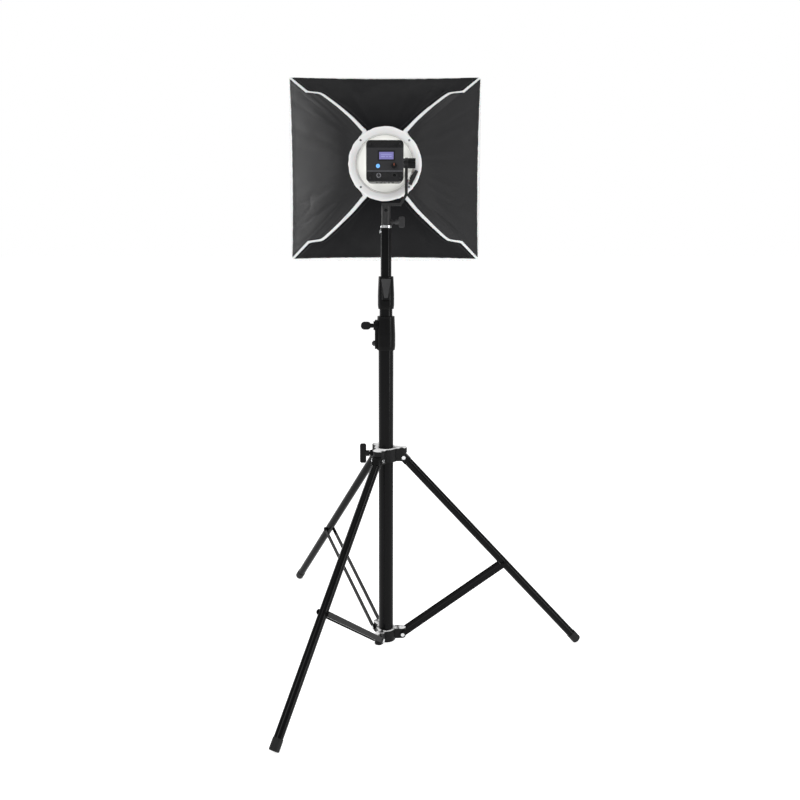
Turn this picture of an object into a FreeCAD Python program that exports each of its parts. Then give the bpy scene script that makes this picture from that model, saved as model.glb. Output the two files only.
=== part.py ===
"""A square studio softbox on a compact lamp, carried by a three-section light stand.

X points right, Y points the way the light shines, Z points up.  The origin is the
point on the floor under the middle of the stand's column.  Every length is in
millimetres and every angle in degrees.
"""
import FreeCAD, Part
import math
import os

V = FreeCAD.Vector
X = V(1, 0, 0)
Y = V(0, 1, 0)
Z = V(0, 0, 1)

# ---------------------------------------------------------------- driving dimensions

# Light stand: three nested tubes, and three legs on a sliding collar.
LOWER_TUBE_R = 17.5
MIDDLE_TUBE_R = 15.0
UPPER_TUBE_R = 12.5
TUBE_WALL = 1.5
LOWER_TUBE_SPAN = (25.0, 807.5)
MIDDLE_TUBE_SPAN = (120.0, 899.7)
UPPER_TUBE_SPAN = (250.0, 1016.6)
BUSH_LENGTH = 40.0
RUNNING_GAP = 0.06
LOOSE_GAP = 0.5

LEG_AZIMUTHS = {"right": 2.5, "back": 122.5, "front": -117.5}
LEG_SPREAD = 42.45
LEG_HINGE = (41.0, 479.0)
LEG_R = 10.0
LEG_WALL = 1.4
LEG_TOP_LENGTH = 16.0
FOOT_R = 11.0
FOOT_LENGTH = 24.0
FOOT_EDGE_R = 3.0
BRACE_ALONG_LEG = 364.5
BRACE_HINGE = (40.0, 35.5)
BRACE_WIDTH = 12.0
BRACE_THICK = 2.5
HINGE_PIN_R = 3.0
PIN_HEAD_R = 4.5

# Each leg is as long as it takes for its rounded foot to rest on the floor.
FOOT_DROP = (FOOT_R - FOOT_EDGE_R) * math.sin(math.radians(LEG_SPREAD)) + FOOT_EDGE_R
LEG_LENGTH = FOOT_EDGE_R + (LEG_HINGE[1] - FOOT_DROP) / math.cos(math.radians(LEG_SPREAD))

COLLAR_Z = (470.5, 501.5)
COLLAR_SLEEVE_R = 27.0
COLLAR_KNOB_Z = 487.0
HUB_Z = (21.0, 49.0)
HUB_R = 23.0
PLATE_THICK = 3.0
FORK_HALF_WIDTH = 13.6
LOBE_REACH = 50.0

LOWER_CLAMP_Z = (735.0, 813.5)
LOWER_KNOB_Z = 791.5
LOWER_BOLT_Z = 750.0
MIDDLE_CLAMP_Z = (831.0, 905.7)
MIDDLE_KNOB_Z = 881.0
CLAMP_SCREW_R = 3.0

# Lamp head, on a one-armed yoke.
SPIGOT_R = 8.0
SPIGOT_TOP = 1049.0
SPIGOT_SCREW_Z = 1008.0
FLANGE_Z = (1016.6, 1021.8)
RECEIVER_R = 10.5
RECEIVER_Z = (1022.3, 1065.8)
RECEIVER_KNOB_Z = 1029.5
UMBRELLA_BORE_R = 4.1
UMBRELLA_BORE_Z = 1056.5
YOKE_THICK = 6.3
YOKE_HALF_WIDTH = 11.0
YOKE_OUTER_X = 49.2
YOKE_ELBOW_X = 35.0
YOKE_ELBOW_RISE = 24.5
TILT_Z = 1161.0
TILT_BOLT_R = 4.0
TILT_KNOB_R = 11.5
TILT_KNOB_END_X = 66.5

LAMP_X = -2.5
LAMP_WIDTH = 82.0
LAMP_HEIGHT = 90.0
LAMP_REAR_Y = -62.0
COVER_SEAM_Y = -44.0
LAMP_FRONT_Y = 30.0
SHELL_WALL = 2.5

# Controls on the lamp's rear, as (x, z).
BUTTON_R = 4.4
POWER_R = 6.2
DIAL_R = 6.2
DIAL_STEM_R = 3.0
INLET_R = 4.5
MODE_BUTTON_AT = (-17.7, 1150.3)
POWER_BUTTON_AT = (-16.0, 1130.0)
DIAL_AT = (17.5, 1150.3)
INLET_AT = (18.5, 1130.5)
WINDOW_HALF = (16.2, 8.4)
WINDOW_AT = (0.8, 1172.5)

# Bayonet between the lamp and the softbox.
BOX_Z = 1164.0
MOUNT_R = 36.0
MOUNT_BORE_R = 29.0
LUG_Y = (50.0, 53.5)
LUG_R = 39.0
LUG_WIDTH = 26
NOTCH_TURN = 36
LATCH_AZIMUTH = -26.0
TONGUE_Y = (45.4, 47.6)
TONGUE_HALF = 5.0

# Softbox.
RING_PLATE_R = 67.2
COLLAR_R = 84.5
SKIRT_BACK_Y = 58.0
RIM_Y = 230.0
RIM_HALF_W = 238.0
RIM_HALF_H = 225.0
RIM_SCOOP = 4.0
SKIRT_CURVE = 1.4
SKIRT_SAG = 9.0
FABRIC = 1.5
DIFFUSER_SWELL = 7.0
DIFFUSER_BAND = 40.0
DIFFUSER_DEPTH = 162.0
RIB_HINGE = (75.0, 66.0)
RIB_TIP = (312.0, 225.0)
RIB_BOW = 15.0
RIB_R = 2.0
RIB_PIN_R = 1.5
CORNER_AZIMUTH = math.degrees(math.atan2(RIM_HALF_H, RIM_HALF_W))
RIB_AZIMUTHS = {"upper_right": CORNER_AZIMUTH, "upper_left": 180 - CORNER_AZIMUTH,
                "lower_left": 180 + CORNER_AZIMUTH, "lower_right": 360 - CORNER_AZIMUTH}

# ---------------------------------------------------------------- helpers


def save(name, shape):
    """Write one sub-part, after testing that it is sound."""
    shape = shape.removeSplitter()
    if not shape.isValid() or shape.Volume <= 0:
        raise ValueError("unsound shape: " + name)
    shape.exportStep("parts/" + name + ".step")
    print(name, len(shape.Solids), round(shape.Volume / 1000, 1), "cm3")


def box(x0, x1, y0, y1, z0, z1):
    return Part.makeBox(x1 - x0, y1 - y0, z1 - z0, V(x0, y0, z0))


def rod(start, end, radius):
    axis = end - start
    return Part.makeCylinder(radius, axis.Length, start, axis)


def disc(x, z, y0, y1, radius):
    """A cylinder along Y."""
    return rod(V(x, y0, z), V(x, y1, z), radius)


def upright(radius, z0, z1):
    """A cylinder on the column's axis."""
    return Part.makeCylinder(radius, z1 - z0, V(0, 0, z0))


def tube(start, end, radius, wall):
    return rod(start, end, radius).cut(rod(start, end, radius - wall))


def turned(shape, azimuth, about=V(0, 0, 0), axis=Z):
    copy = shape.copy()
    copy.rotate(about, axis, azimuth)
    return copy


def fused(shapes):
    return shapes[0].multiFuse(shapes[1:])


def prism(points, extent):
    """A flat outline swept along a vector."""
    wire = Part.makePolygon(points + [points[0]])
    return Part.Face(wire).extrude(extent)


def lathe(profile, centre=V(0, 0, 0), axis=Z):
    """Turn (radius, height) points about an axis that is Z, or Y when asked."""
    across = X
    points = [centre + across * r + axis * h for r, h in profile]
    wire = Part.makePolygon(points + [points[0]])
    return Part.Face(wire).revolve(centre, axis, 360)


def softened(shape, radius, keep):
    """Round the edges that keep() picks, by the largest radius that holds."""
    edges = [edge for edge in shape.Edges if keep(edge)]
    for share in (1.0, 0.6, 0.3):
        try:
            result = shape.makeFillet(radius * share, edges)
            if result.isValid() and result.Volume > 0:
                return result
        except Part.OCCError:
            continue
    return shape


def runs_along(direction):
    """Picks straight edges along one direction."""
    def test(edge):
        if edge.Curve.TypeId != "Part::GeomLine":
            return False
        return abs(edge.tangentAt(edge.FirstParameter).dot(direction)) > 0.999
    return test


def rounded_block(x0, x1, y0, y1, z0, z1, radius, direction):
    block = box(x0, x1, y0, y1, z0, z1)
    return softened(block, radius, runs_along(direction))


# ---------------------------------------------------------------- stand: column


def column_tube(span, radius):
    return tube(V(0, 0, span[0]), V(0, 0, span[1]), radius, TUBE_WALL)


def clamp_casting(z_span, tube_top, outer_r, inner_r, sliding_r, swell):
    """A tapered sleeve on one tube, with a lip that guides the next tube."""
    low, high = z_span
    height = high - low
    profile = [
        (inner_r, low),
        (outer_r, low),
        (outer_r + swell, low + 0.12 * height),
        (outer_r + swell, low + 0.45 * height),
        (outer_r - 0.8, high),
        (sliding_r + RUNNING_GAP, high),
        (sliding_r + RUNNING_GAP, tube_top),
        (inner_r, tube_top),
    ]
    return lathe(profile)


def lower_clamp():
    body = clamp_casting(LOWER_CLAMP_Z, LOWER_TUBE_SPAN[1], 20.8, LOWER_TUBE_R, MIDDLE_TUBE_R, 1.0)
    low, high = LOWER_CLAMP_Z
    lug = box(-26, -16, -9, 9, low + 3, high - 9)
    lug = softened(lug, 3, runs_along(Z))
    boss = rod(V(-16, 0, LOWER_KNOB_Z), V(-29, 0, LOWER_KNOB_Z), 10.5)
    bore = rod(V(-14, 0, LOWER_KNOB_Z), V(-30, 0, LOWER_KNOB_Z), CLAMP_SCREW_R + RUNNING_GAP)
    hollow = upright(LOWER_TUBE_R, low - 1, LOWER_TUBE_SPAN[1])
    return fused([body, lug, boss]).cut(hollow).cut(bore)


def lower_clamp_bolt():
    head = rod(V(-26, 0, LOWER_BOLT_Z), V(-30.2, 0, LOWER_BOLT_Z), 6.5)
    nut = rod(V(-30.2, 0, LOWER_BOLT_Z), V(-32.6, 0, LOWER_BOLT_Z), 4)
    return head.fuse(nut)


def bush(span_low, tube_r, outer_r):
    """A nylon guide ring pressed onto the foot of a sliding tube."""
    lip = 4
    ring = upright(outer_r, span_low - lip, span_low + BUSH_LENGTH)
    seat = upright(tube_r, span_low, span_low + BUSH_LENGTH)
    bore = upright(tube_r - TUBE_WALL, span_low - lip, span_low)
    return ring.cut(seat).cut(bore)


def middle_clamp():
    body = clamp_casting(MIDDLE_CLAMP_Z, MIDDLE_TUBE_SPAN[1], 18.0, MIDDLE_TUBE_R, UPPER_TUBE_R, 1.0)
    low, high = MIDDLE_CLAMP_Z
    lug = box(-9.5, 9.5, -24.5, -13, low + 23, high - 9)
    lug = softened(lug, 3, runs_along(Z))
    foot = box(-8, 8, -21.5, -13, low + 8, low + 19)
    bore = rod(V(0, -11, MIDDLE_KNOB_Z), V(0, -26, MIDDLE_KNOB_Z), CLAMP_SCREW_R + RUNNING_GAP)
    hollow = upright(MIDDLE_TUBE_R, low - 1, MIDDLE_TUBE_SPAN[1])
    return fused([body, lug, foot]).cut(hollow).cut(bore)


def spigot():
    """The plug, flange and pin on which the lamp's receiver stands."""
    inner_r = UPPER_TUBE_R - TUBE_WALL
    profile = [
        (0, FLANGE_Z[0] - 30),
        (inner_r, FLANGE_Z[0] - 30),
        (inner_r, FLANGE_Z[0]),
        (UPPER_TUBE_R + 0.4, FLANGE_Z[0]),
        (UPPER_TUBE_R + 0.4, FLANGE_Z[1]),
        (SPIGOT_R, FLANGE_Z[1]),
        (SPIGOT_R, SPIGOT_TOP - 2),
        (SPIGOT_R - 2, SPIGOT_TOP),
        (0, SPIGOT_TOP),
    ]
    return lathe(profile)


def spigot_screw():
    """The small bright screw that pins the plug into the upper tube."""
    start = V(UPPER_TUBE_R - 0.4, 0, SPIGOT_SCREW_Z)
    end = V(UPPER_TUBE_R + 2.2, 0, SPIGOT_SCREW_Z)
    head = rod(start, end, 3.2).cut(upright(UPPER_TUBE_R, *UPPER_TUBE_SPAN))
    return turned(head, 201)


# ---------------------------------------------------------------- stand: hubs and legs


def lobed_outline(reach, half_width, z0, z1):
    """Three round-ended arms, one toward each leg."""
    arms = []
    for azimuth in LEG_AZIMUTHS.values():
        arm = box(0, reach - half_width, -half_width, half_width, z0, z1)
        tip = Part.makeCylinder(half_width, z1 - z0, V(reach - half_width, 0, z0))
        arms.append(turned(arm.fuse(tip), azimuth))
    return fused(arms)


def leg_collar():
    """The sliding casting: a sleeve with three forks that hold the leg tops."""
    low, high = COLLAR_Z
    top = high - PLATE_THICK
    arms = lobed_outline(LOBE_REACH, FORK_HALF_WIDTH, low, top)
    body = arms.fuse(upright(COLLAR_SLEEVE_R, low, top))
    slot = box(COLLAR_SLEEVE_R + 1.5, LOBE_REACH + 5, -LEG_R - LOOSE_GAP, LEG_R + LOOSE_GAP,
               low - 1, LEG_HINGE[1] + LEG_R + LOOSE_GAP)
    hole = rod(V(LEG_HINGE[0], -20, LEG_HINGE[1]), V(LEG_HINGE[0], 20, LEG_HINGE[1]), HINGE_PIN_R)
    cuts = []
    for azimuth in LEG_AZIMUTHS.values():
        cuts.append(turned(slot, azimuth))
        cuts.append(turned(hole, azimuth))
    boss = rod(V(-20, 0, COLLAR_KNOB_Z), V(-38, 0, COLLAR_KNOB_Z), 8)
    bore = rod(V(-15, 0, COLLAR_KNOB_Z), V(-39, 0, COLLAR_KNOB_Z), 3.5 + RUNNING_GAP)
    body = body.fuse(boss).cut(fused(cuts)).cut(bore)
    return body.cut(upright(LOWER_TUBE_R + RUNNING_GAP, low - 1, high + 1))


def leg_collar_plate():
    """The bright steel plate that caps the sliding casting."""
    low = COLLAR_Z[1] - PLATE_THICK
    plate = lobed_outline(LOBE_REACH, FORK_HALF_WIDTH, low, COLLAR_Z[1])
    plate = plate.fuse(upright(COLLAR_SLEEVE_R, low, COLLAR_Z[1]))
    return plate.cut(upright(LOWER_TUBE_R + 0.6, low - 1, COLLAR_Z[1] + 1))


def hinge_pin(radius, height, half_length):
    shank = rod(V(radius, -half_length, height), V(radius, half_length, height), HINGE_PIN_R)
    heads = []
    for side in (-1, 1):
        inner = V(radius, side * half_length, height)
        outer = V(radius, side * (half_length + 2), height)
        heads.append(rod(inner, outer, PIN_HEAD_R))
    return fused([shank] + heads)


def pins(radius, height, half_length):
    pin = hinge_pin(radius, height, half_length)
    return Part.makeCompound([turned(pin, azimuth) for azimuth in LEG_AZIMUTHS.values()])


def lower_hub():
    """The fixed casting at the foot of the column, between the braces."""
    low, high = HUB_Z
    half_width = LEG_R + LOOSE_GAP - 0.4
    arms = lobed_outline(LOBE_REACH - 2, half_width, low + 4, high)
    cup = upright(HUB_R, low, high)
    radius, height = BRACE_HINGE
    hole = rod(V(radius, -20, height), V(radius, 20, height), HINGE_PIN_R)
    holes = [turned(hole, azimuth) for azimuth in LEG_AZIMUTHS.values()]
    seat = upright(LOWER_TUBE_R, LOWER_TUBE_SPAN[0], high + 1)
    return arms.fuse(cup).cut(fused(holes)).cut(seat)


def leg_direction():
    spread = math.radians(LEG_SPREAD)
    return V(math.sin(spread), 0, -math.cos(spread))


def leg_point(distance):
    return V(LEG_HINGE[0], 0, LEG_HINGE[1]) + leg_direction() * distance


def leg_top():
    """The plug in the head of a leg, rounded about its hinge."""
    eye = rod(leg_point(0) - Y * LEG_R, leg_point(0) + Y * LEG_R, LEG_R)
    neck = box(-LEG_R, LEG_R, -LEG_R, LEG_R, 0, LEG_TOP_LENGTH)
    neck = softened(neck, 3, runs_along(Z))
    neck.rotate(V(0, 0, 0), Y, 180 - LEG_SPREAD)
    neck.translate(leg_point(0))
    plug = rod(leg_point(LEG_TOP_LENGTH), leg_point(LEG_TOP_LENGTH + 22), LEG_R - LEG_WALL)
    hole = rod(leg_point(0) - Y * 20, leg_point(0) + Y * 20, HINGE_PIN_R + RUNNING_GAP)
    return fused([eye, neck, plug]).cut(hole)


def leg_tube():
    return tube(leg_point(LEG_TOP_LENGTH), leg_point(LEG_LENGTH - 5), LEG_R, LEG_WALL)


def leg_foot():
    """A moulded cap over the foot of a leg."""
    cap = rod(leg_point(LEG_LENGTH - FOOT_LENGTH), leg_point(LEG_LENGTH), FOOT_R)
    cap = softened(cap, FOOT_EDGE_R, lambda edge: edge.CenterOfMass.distanceToPoint(leg_point(LEG_LENGTH)) < 1)
    socket = rod(leg_point(LEG_LENGTH - FOOT_LENGTH - 1), leg_point(LEG_LENGTH - 5), LEG_R)
    return cap.cut(socket)


def brace_bars():
    """A pair of flat bars, one on each side of a leg, with rivet heads at the far end."""
    start = V(BRACE_HINGE[0], 0, BRACE_HINGE[1])
    end = leg_point(BRACE_ALONG_LEG)
    run = end - start
    turn = math.degrees(math.atan2(run.z, run.x))
    half = BRACE_WIDTH / 2
    pieces = []
    for side in (-1, 1):
        inner = side * (LEG_R + LOOSE_GAP)
        outer = inner + side * BRACE_THICK
        near, far = min(inner, outer), max(inner, outer)
        bar = box(0, run.Length, near, far, -half, half)
        near_eye = rod(V(0, near, 0), V(0, far, 0), half)
        far_eye = rod(V(run.Length, near, 0), V(run.Length, far, 0), half)
        head_end = outer + side * 2
        rivet = rod(V(run.Length, outer, 0), V(run.Length, head_end, 0), 4)
        hole = rod(V(0, near - 1, 0), V(0, far + 1, 0), HINGE_PIN_R + RUNNING_GAP)
        bar = fused([bar, near_eye, far_eye]).cut(hole)
        pieces += [bar, rivet]
    bars = Part.makeCompound(pieces)
    bars.rotate(V(0, 0, 0), Y, -turn)
    bars.translate(start)
    return bars


# ---------------------------------------------------------------- knobs


def clamp_knob(shank_r, shank_length, hub_r, wing_height, wing_depth, wing_thick, roundness=0.3,
               hub_length=8):
    """A wing knob along +X: shank from 0, wing standing along Z at its end."""
    shank = rod(V(0, 0, 0), V(shank_length, 0, 0), shank_r)
    hub = rod(V(shank_length - hub_length, 0, 0), V(shank_length + 2, 0, 0), hub_r)
    half = wing_height / 2
    start = shank_length
    end = shank_length + wing_depth
    wing = box(start, end, -wing_thick / 2, wing_thick / 2, -half, half)
    wing = softened(wing, min(wing_depth, wing_height) * roundness, runs_along(Y))
    wing = softened(wing, wing_thick * 0.2, lambda edge: not runs_along(Y)(edge))
    return fused([shank, hub, wing])


def leg_collar_knob():
    knob = clamp_knob(3.5, 28, 7, 46, 15, 10)
    knob = turned(knob, 180)
    knob.translate(V(-18.8, 0, COLLAR_KNOB_Z))
    return knob


def lower_clamp_knob():
    knob = clamp_knob(CLAMP_SCREW_R, 17, 5, 18, 23.5, 12, roundness=0.47, hub_length=5.5)
    knob = turned(knob, 180)
    knob.translate(V(-17.8, 0, LOWER_KNOB_Z))
    return knob


def middle_clamp_knob():
    """A fan-shaped wing knob that faces backward."""
    shank = rod(V(0, -15.3, MIDDLE_KNOB_Z), V(0, -31.5, MIDDLE_KNOB_Z), CLAMP_SCREW_R)
    hub = rod(V(0, -26, MIDDLE_KNOB_Z), V(0, -33, MIDDLE_KNOB_Z), 7)
    half_outline = [(4.5, -22), (7, -2), (11.5, 21)]
    outline = half_outline + [(-x, z) for x, z in reversed(half_outline)]
    wing = prism([V(x, -31.5, MIDDLE_KNOB_Z + z) for x, z in outline], V(0, -9, 0))
    wing = softened(wing, 2.5, runs_along(Y))
    return fused([shank, hub, wing])


def receiver_knob():
    knob = clamp_knob(CLAMP_SCREW_R, 20.5, 5, 25, 13.5, 9)
    knob.translate(V(8.4, 0, RECEIVER_KNOB_Z))
    return knob


def tilt_knob():
    """A ribbed round knob on the tilt bolt."""
    start = YOKE_OUTER_X + 0.3
    end = TILT_KNOB_END_X
    body = rod(V(start, 0, TILT_Z), V(end, 0, TILT_Z), TILT_KNOB_R)
    bore = rod(V(start - 1, 0, TILT_Z), V(end - 7, 0, TILT_Z), TILT_BOLT_R + RUNNING_GAP)
    rim = TILT_KNOB_R + 0.6
    flute = rod(V(start + 3, rim, TILT_Z), V(end + 1, rim, TILT_Z), 1.6)
    flute_count = 14
    flutes = [turned(flute, 360 * k / flute_count, V(0, 0, TILT_Z), X) for k in range(flute_count)]
    return body.cut(bore).cut(fused(flutes))


# ---------------------------------------------------------------- yoke


def stand_receiver():
    low, high = RECEIVER_Z
    sleeve = upright(RECEIVER_R, low, high)
    boss = rod(V(6, 0, RECEIVER_KNOB_Z), V(15, 0, RECEIVER_KNOB_Z), 5.5)
    seat = upright(SPIGOT_R + RUNNING_GAP, low - 1, SPIGOT_TOP + 1)
    screw = rod(V(0, 0, RECEIVER_KNOB_Z), V(17, 0, RECEIVER_KNOB_Z), CLAMP_SCREW_R + RUNNING_GAP)
    umbrella = rod(V(0, -20, UMBRELLA_BORE_Z), V(0, 20, UMBRELLA_BORE_Z), UMBRELLA_BORE_R)
    return sleeve.fuse(boss).cut(seat).cut(screw).cut(umbrella)


def yoke_arm():
    """A bar bent from a strip: across the receiver, out at a slant and up to the tilt bolt."""
    bottom = RECEIVER_Z[1]
    inner_x = YOKE_OUTER_X - YOKE_THICK
    top = bottom + YOKE_THICK
    elbow_z = bottom + YOKE_ELBOW_RISE
    outline = [
        (-RECEIVER_R, bottom),
        (YOKE_ELBOW_X, bottom),
        (YOKE_OUTER_X, elbow_z),
        (YOKE_OUTER_X, TILT_Z),
        (inner_x, TILT_Z),
        (inner_x, elbow_z + 1.8),
        (YOKE_ELBOW_X - 3.6, top),
        (-RECEIVER_R, top),
    ]
    points = [V(x, -YOKE_HALF_WIDTH, z) for x, z in outline]
    strip = prism(points, V(0, 2 * YOKE_HALF_WIDTH, 0))
    strip = softened(strip, 2, runs_along(Y))
    eye = rod(V(inner_x, 0, TILT_Z), V(YOKE_OUTER_X, 0, TILT_Z), YOKE_HALF_WIDTH + 1.5)
    bore = rod(V(inner_x - 1, 0, TILT_Z), V(YOKE_OUTER_X + 1, 0, TILT_Z), TILT_BOLT_R + RUNNING_GAP)
    return strip.fuse(eye).cut(bore)


# ---------------------------------------------------------------- lamp


def lamp_block(y0, y1, shrink, corner):
    half_w = LAMP_WIDTH / 2 - shrink
    half_h = LAMP_HEIGHT / 2 - shrink
    return rounded_block(LAMP_X - half_w, LAMP_X + half_w, y0, y1,
                         TILT_Z - half_h, TILT_Z + half_h, corner, Y)


def lamp_rear_cover():
    """The control panel's moulding: a dish with its face toward the operator."""
    body = lamp_block(LAMP_REAR_Y, COVER_SEAM_Y, 0, 9)
    body = softened(body, 2.5, lambda edge: edge.CenterOfMass.y < LAMP_REAR_Y + 0.1)
    hollow = lamp_block(LAMP_REAR_Y + 4, COVER_SEAM_Y + 1, SHELL_WALL, 7)
    pocket = box(WINDOW_AT[0] - WINDOW_HALF[0], WINDOW_AT[0] + WINDOW_HALF[0], LAMP_REAR_Y - 1,
                 LAMP_REAR_Y + 2.5, WINDOW_AT[1] - WINDOW_HALF[1], WINDOW_AT[1] + WINDOW_HALF[1])
    bores = [
        disc(*MODE_BUTTON_AT, LAMP_REAR_Y - 1, LAMP_REAR_Y + 6, BUTTON_R + RUNNING_GAP),
        disc(*POWER_BUTTON_AT, LAMP_REAR_Y - 1, LAMP_REAR_Y + 6, POWER_R + RUNNING_GAP),
        disc(*DIAL_AT, LAMP_REAR_Y - 1, LAMP_REAR_Y + 6, DIAL_STEM_R + RUNNING_GAP),
        disc(*INLET_AT, LAMP_REAR_Y - 1, LAMP_REAR_Y + 6, INLET_R),
    ]
    for x, z in screw_places():
        bores.append(disc(x, z, LAMP_REAR_Y - 1, LAMP_REAR_Y + 1.2, 2.2))
    return body.cut(hollow).cut(pocket).cut(fused(bores))


def screw_places():
    dx = LAMP_WIDTH / 2 - 8
    dz = LAMP_HEIGHT / 2 - 8
    return [(LAMP_X + sx * dx, TILT_Z + sz * dz) for sx in (-1, 1) for sz in (-1, 1)]


def lamp_screws():
    """Four countersunk screws flush in the rear cover."""
    heads = []
    for x, z in screw_places():
        head = disc(x, z, LAMP_REAR_Y + 0.2, LAMP_REAR_Y + 1.2, 2.2)
        socket = disc(x, z, LAMP_REAR_Y, LAMP_REAR_Y + 0.8, 1.0)
        heads.append(head.cut(socket))
    return Part.makeCompound(heads)


def display_window():
    return box(WINDOW_AT[0] - WINDOW_HALF[0], WINDOW_AT[0] + WINDOW_HALF[0], LAMP_REAR_Y + 0.4,
               LAMP_REAR_Y + 2.5, WINDOW_AT[1] - WINDOW_HALF[1], WINDOW_AT[1] + WINDOW_HALF[1])


def push_button(place, radius, proud):
    cap = disc(*place, LAMP_REAR_Y - proud, LAMP_REAR_Y + 5.5, radius)
    return softened(cap, 0.8, lambda edge: edge.CenterOfMass.y < LAMP_REAR_Y - proud + 0.1)


def brightness_dial():
    cap = disc(*DIAL_AT, LAMP_REAR_Y - 8, LAMP_REAR_Y - 0.3, DIAL_R)
    cap = softened(cap, 0.8, lambda edge: edge.CenterOfMass.y < LAMP_REAR_Y - 7.9)
    stem = disc(*DIAL_AT, LAMP_REAR_Y - 1, LAMP_REAR_Y + 10, DIAL_STEM_R)
    return cap.fuse(stem)


def power_inlet():
    """A barrel socket set in the rear cover."""
    shell = disc(*INLET_AT, LAMP_REAR_Y + 0.2, LAMP_REAR_Y + 12, INLET_R)
    bore = disc(*INLET_AT, LAMP_REAR_Y - 1, LAMP_REAR_Y + 10, 3.2)
    pin = disc(*INLET_AT, LAMP_REAR_Y + 2, LAMP_REAR_Y + 10.5, 1.0)
    return shell.cut(bore).fuse(pin)


def lamp_housing():
    """The lamp's metal sleeve, with vents on both sides and below."""
    body = lamp_block(COVER_SEAM_Y, LAMP_FRONT_Y, 1.5, 8)
    hollow = lamp_block(COVER_SEAM_Y - 1, LAMP_FRONT_Y - SHELL_WALL, 1.5 + SHELL_WALL, 6)
    window = disc(LAMP_X, BOX_Z, 0, LAMP_FRONT_Y + 1, MOUNT_BORE_R - 1)
    cuts = [hollow, window]
    vent_count = 6
    for k in range(vent_count):
        z = TILT_Z + (k - (vent_count - 1) / 2) * 10.5
        for side in (-1, 1):
            x = LAMP_X + side * LAMP_WIDTH / 2
            cuts.append(box(x - 6, x + 6, -38, -18, z - 2.5, z + 2.5))
            if side < 0:
                cuts.append(box(x - 6, x + 6, -12, 18, z - 2.5, z + 2.5))
    for k in range(5):
        x = LAMP_X + (k - 2) * 9
        cuts.append(box(x - 2.5, x + 2.5, -38, 18, TILT_Z - 60, TILT_Z - 36))
    return body.cut(fused(cuts))


def tilt_boss():
    """The friction disc and bolt on the lamp's right flank."""
    face_x = LAMP_X + LAMP_WIDTH / 2 - 1.5
    plate = rod(V(face_x, 0, TILT_Z), V(YOKE_OUTER_X - YOKE_THICK - 0.1, 0, TILT_Z), 11)
    bolt = rod(V(face_x, 0, TILT_Z), V(TILT_KNOB_END_X - 8, 0, TILT_Z), TILT_BOLT_R)
    return plate.fuse(bolt)


def heat_sink():
    base = box(LAMP_X - 32, LAMP_X + 32, 12, 18, TILT_Z - 34, TILT_Z + 34)
    fins = [base]
    fin_count = 11
    for k in range(fin_count):
        x = LAMP_X + (k - (fin_count - 1) / 2) * 6.2
        fins.append(box(x - 0.7, x + 0.7, -26, 12.5, TILT_Z - 34, TILT_Z + 34))
    return fused(fins)


def led_module():
    board = box(LAMP_X - 20, LAMP_X + 20, 18, 20, BOX_Z - 20, BOX_Z + 20)
    emitter = disc(LAMP_X, BOX_Z, 20, 21.5, 12)
    return board.fuse(emitter)


def fan_frame():
    frame = box(LAMP_X - 32, LAMP_X + 32, -41, -29, TILT_Z - 32, TILT_Z + 32)
    opening = disc(LAMP_X, TILT_Z, -42, -28, 29)
    strut = box(LAMP_X - 30, LAMP_X + 30, -31, -29, TILT_Z - 1.5, TILT_Z + 1.5)
    motor = disc(LAMP_X, TILT_Z, -31, -29, 9)
    return fused([frame.cut(opening), strut, motor])


def fan_rotor():
    centre = V(LAMP_X, 0, TILT_Z)
    hub = disc(LAMP_X, TILT_Z, -40.5, -31.6, 11)
    blade = box(9, 27, -39.5, -38.2, -6, 6)
    blade.rotate(V(0, -38.9, 0), X, 32)
    blade.translate(V(LAMP_X, 2.6, TILT_Z))
    blade_count = 7
    blades = [turned(blade, 360 * k / blade_count, centre, Y) for k in range(blade_count)]
    return fused([hub] + blades)


def sector(radius, inner_r, y0, y1, middle, width):
    """A piece of a flat ring about the light's axis."""
    ring = disc(LAMP_X, BOX_Z, y0, y1, radius).cut(disc(LAMP_X, BOX_Z, y0, y1, inner_r))
    reach = radius * 2
    half = math.radians(width / 2)
    wedge = prism([V(LAMP_X, y0, BOX_Z),
                   V(LAMP_X + reach * math.cos(half), y0, BOX_Z + reach * math.sin(half)),
                   V(LAMP_X + reach * math.cos(half), y0, BOX_Z - reach * math.sin(half))],
                  V(0, y1 - y0, 0))
    return turned(ring.common(wedge), -middle, V(LAMP_X, 0, BOX_Z), Y)


def mount_flange():
    """The lamp's bayonet: a base disc and a neck with three lugs."""
    base = disc(LAMP_X, BOX_Z, LAMP_FRONT_Y, 36, MOUNT_R + 3)
    neck = disc(LAMP_X, BOX_Z, 36, 57, MOUNT_R)
    lugs = [sector(LUG_R, MOUNT_R - 1, *LUG_Y, 90 + 120 * k, LUG_WIDTH) for k in range(3)]
    bore = disc(LAMP_X, BOX_Z, LAMP_FRONT_Y - 1, 58, MOUNT_BORE_R)
    return fused([base, neck] + lugs).cut(bore)


# ---------------------------------------------------------------- softbox


def speed_ring():
    """The bayonet ring, its cream plate and the four rib brackets."""
    hub = disc(LAMP_X, BOX_Z, 44, 57, LUG_R + 6)
    plate = disc(LAMP_X, BOX_Z, 52, 56, RING_PLATE_R - 0.4)
    rim = disc(LAMP_X, BOX_Z, 49, 56, RING_PLATE_R - 0.4).cut(disc(LAMP_X, BOX_Z, 48, 57, RING_PLATE_R - 3))
    cuts = [
        disc(LAMP_X, BOX_Z, 43, 58, MOUNT_R + RUNNING_GAP),
        disc(LAMP_X, BOX_Z, LUG_Y[0] - 0.4, 58, LUG_R + 0.5),
    ]
    for k in range(3):
        middle = 90 + NOTCH_TURN + 120 * k
        cuts.append(sector(LUG_R + 0.5, MOUNT_R - 1, 43, 58, middle, LUG_WIDTH + 6))
    ring = fused([hub, plate, rim]).cut(fused(cuts))
    return fused([ring, latch_guide()] + rib_brackets())


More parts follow.
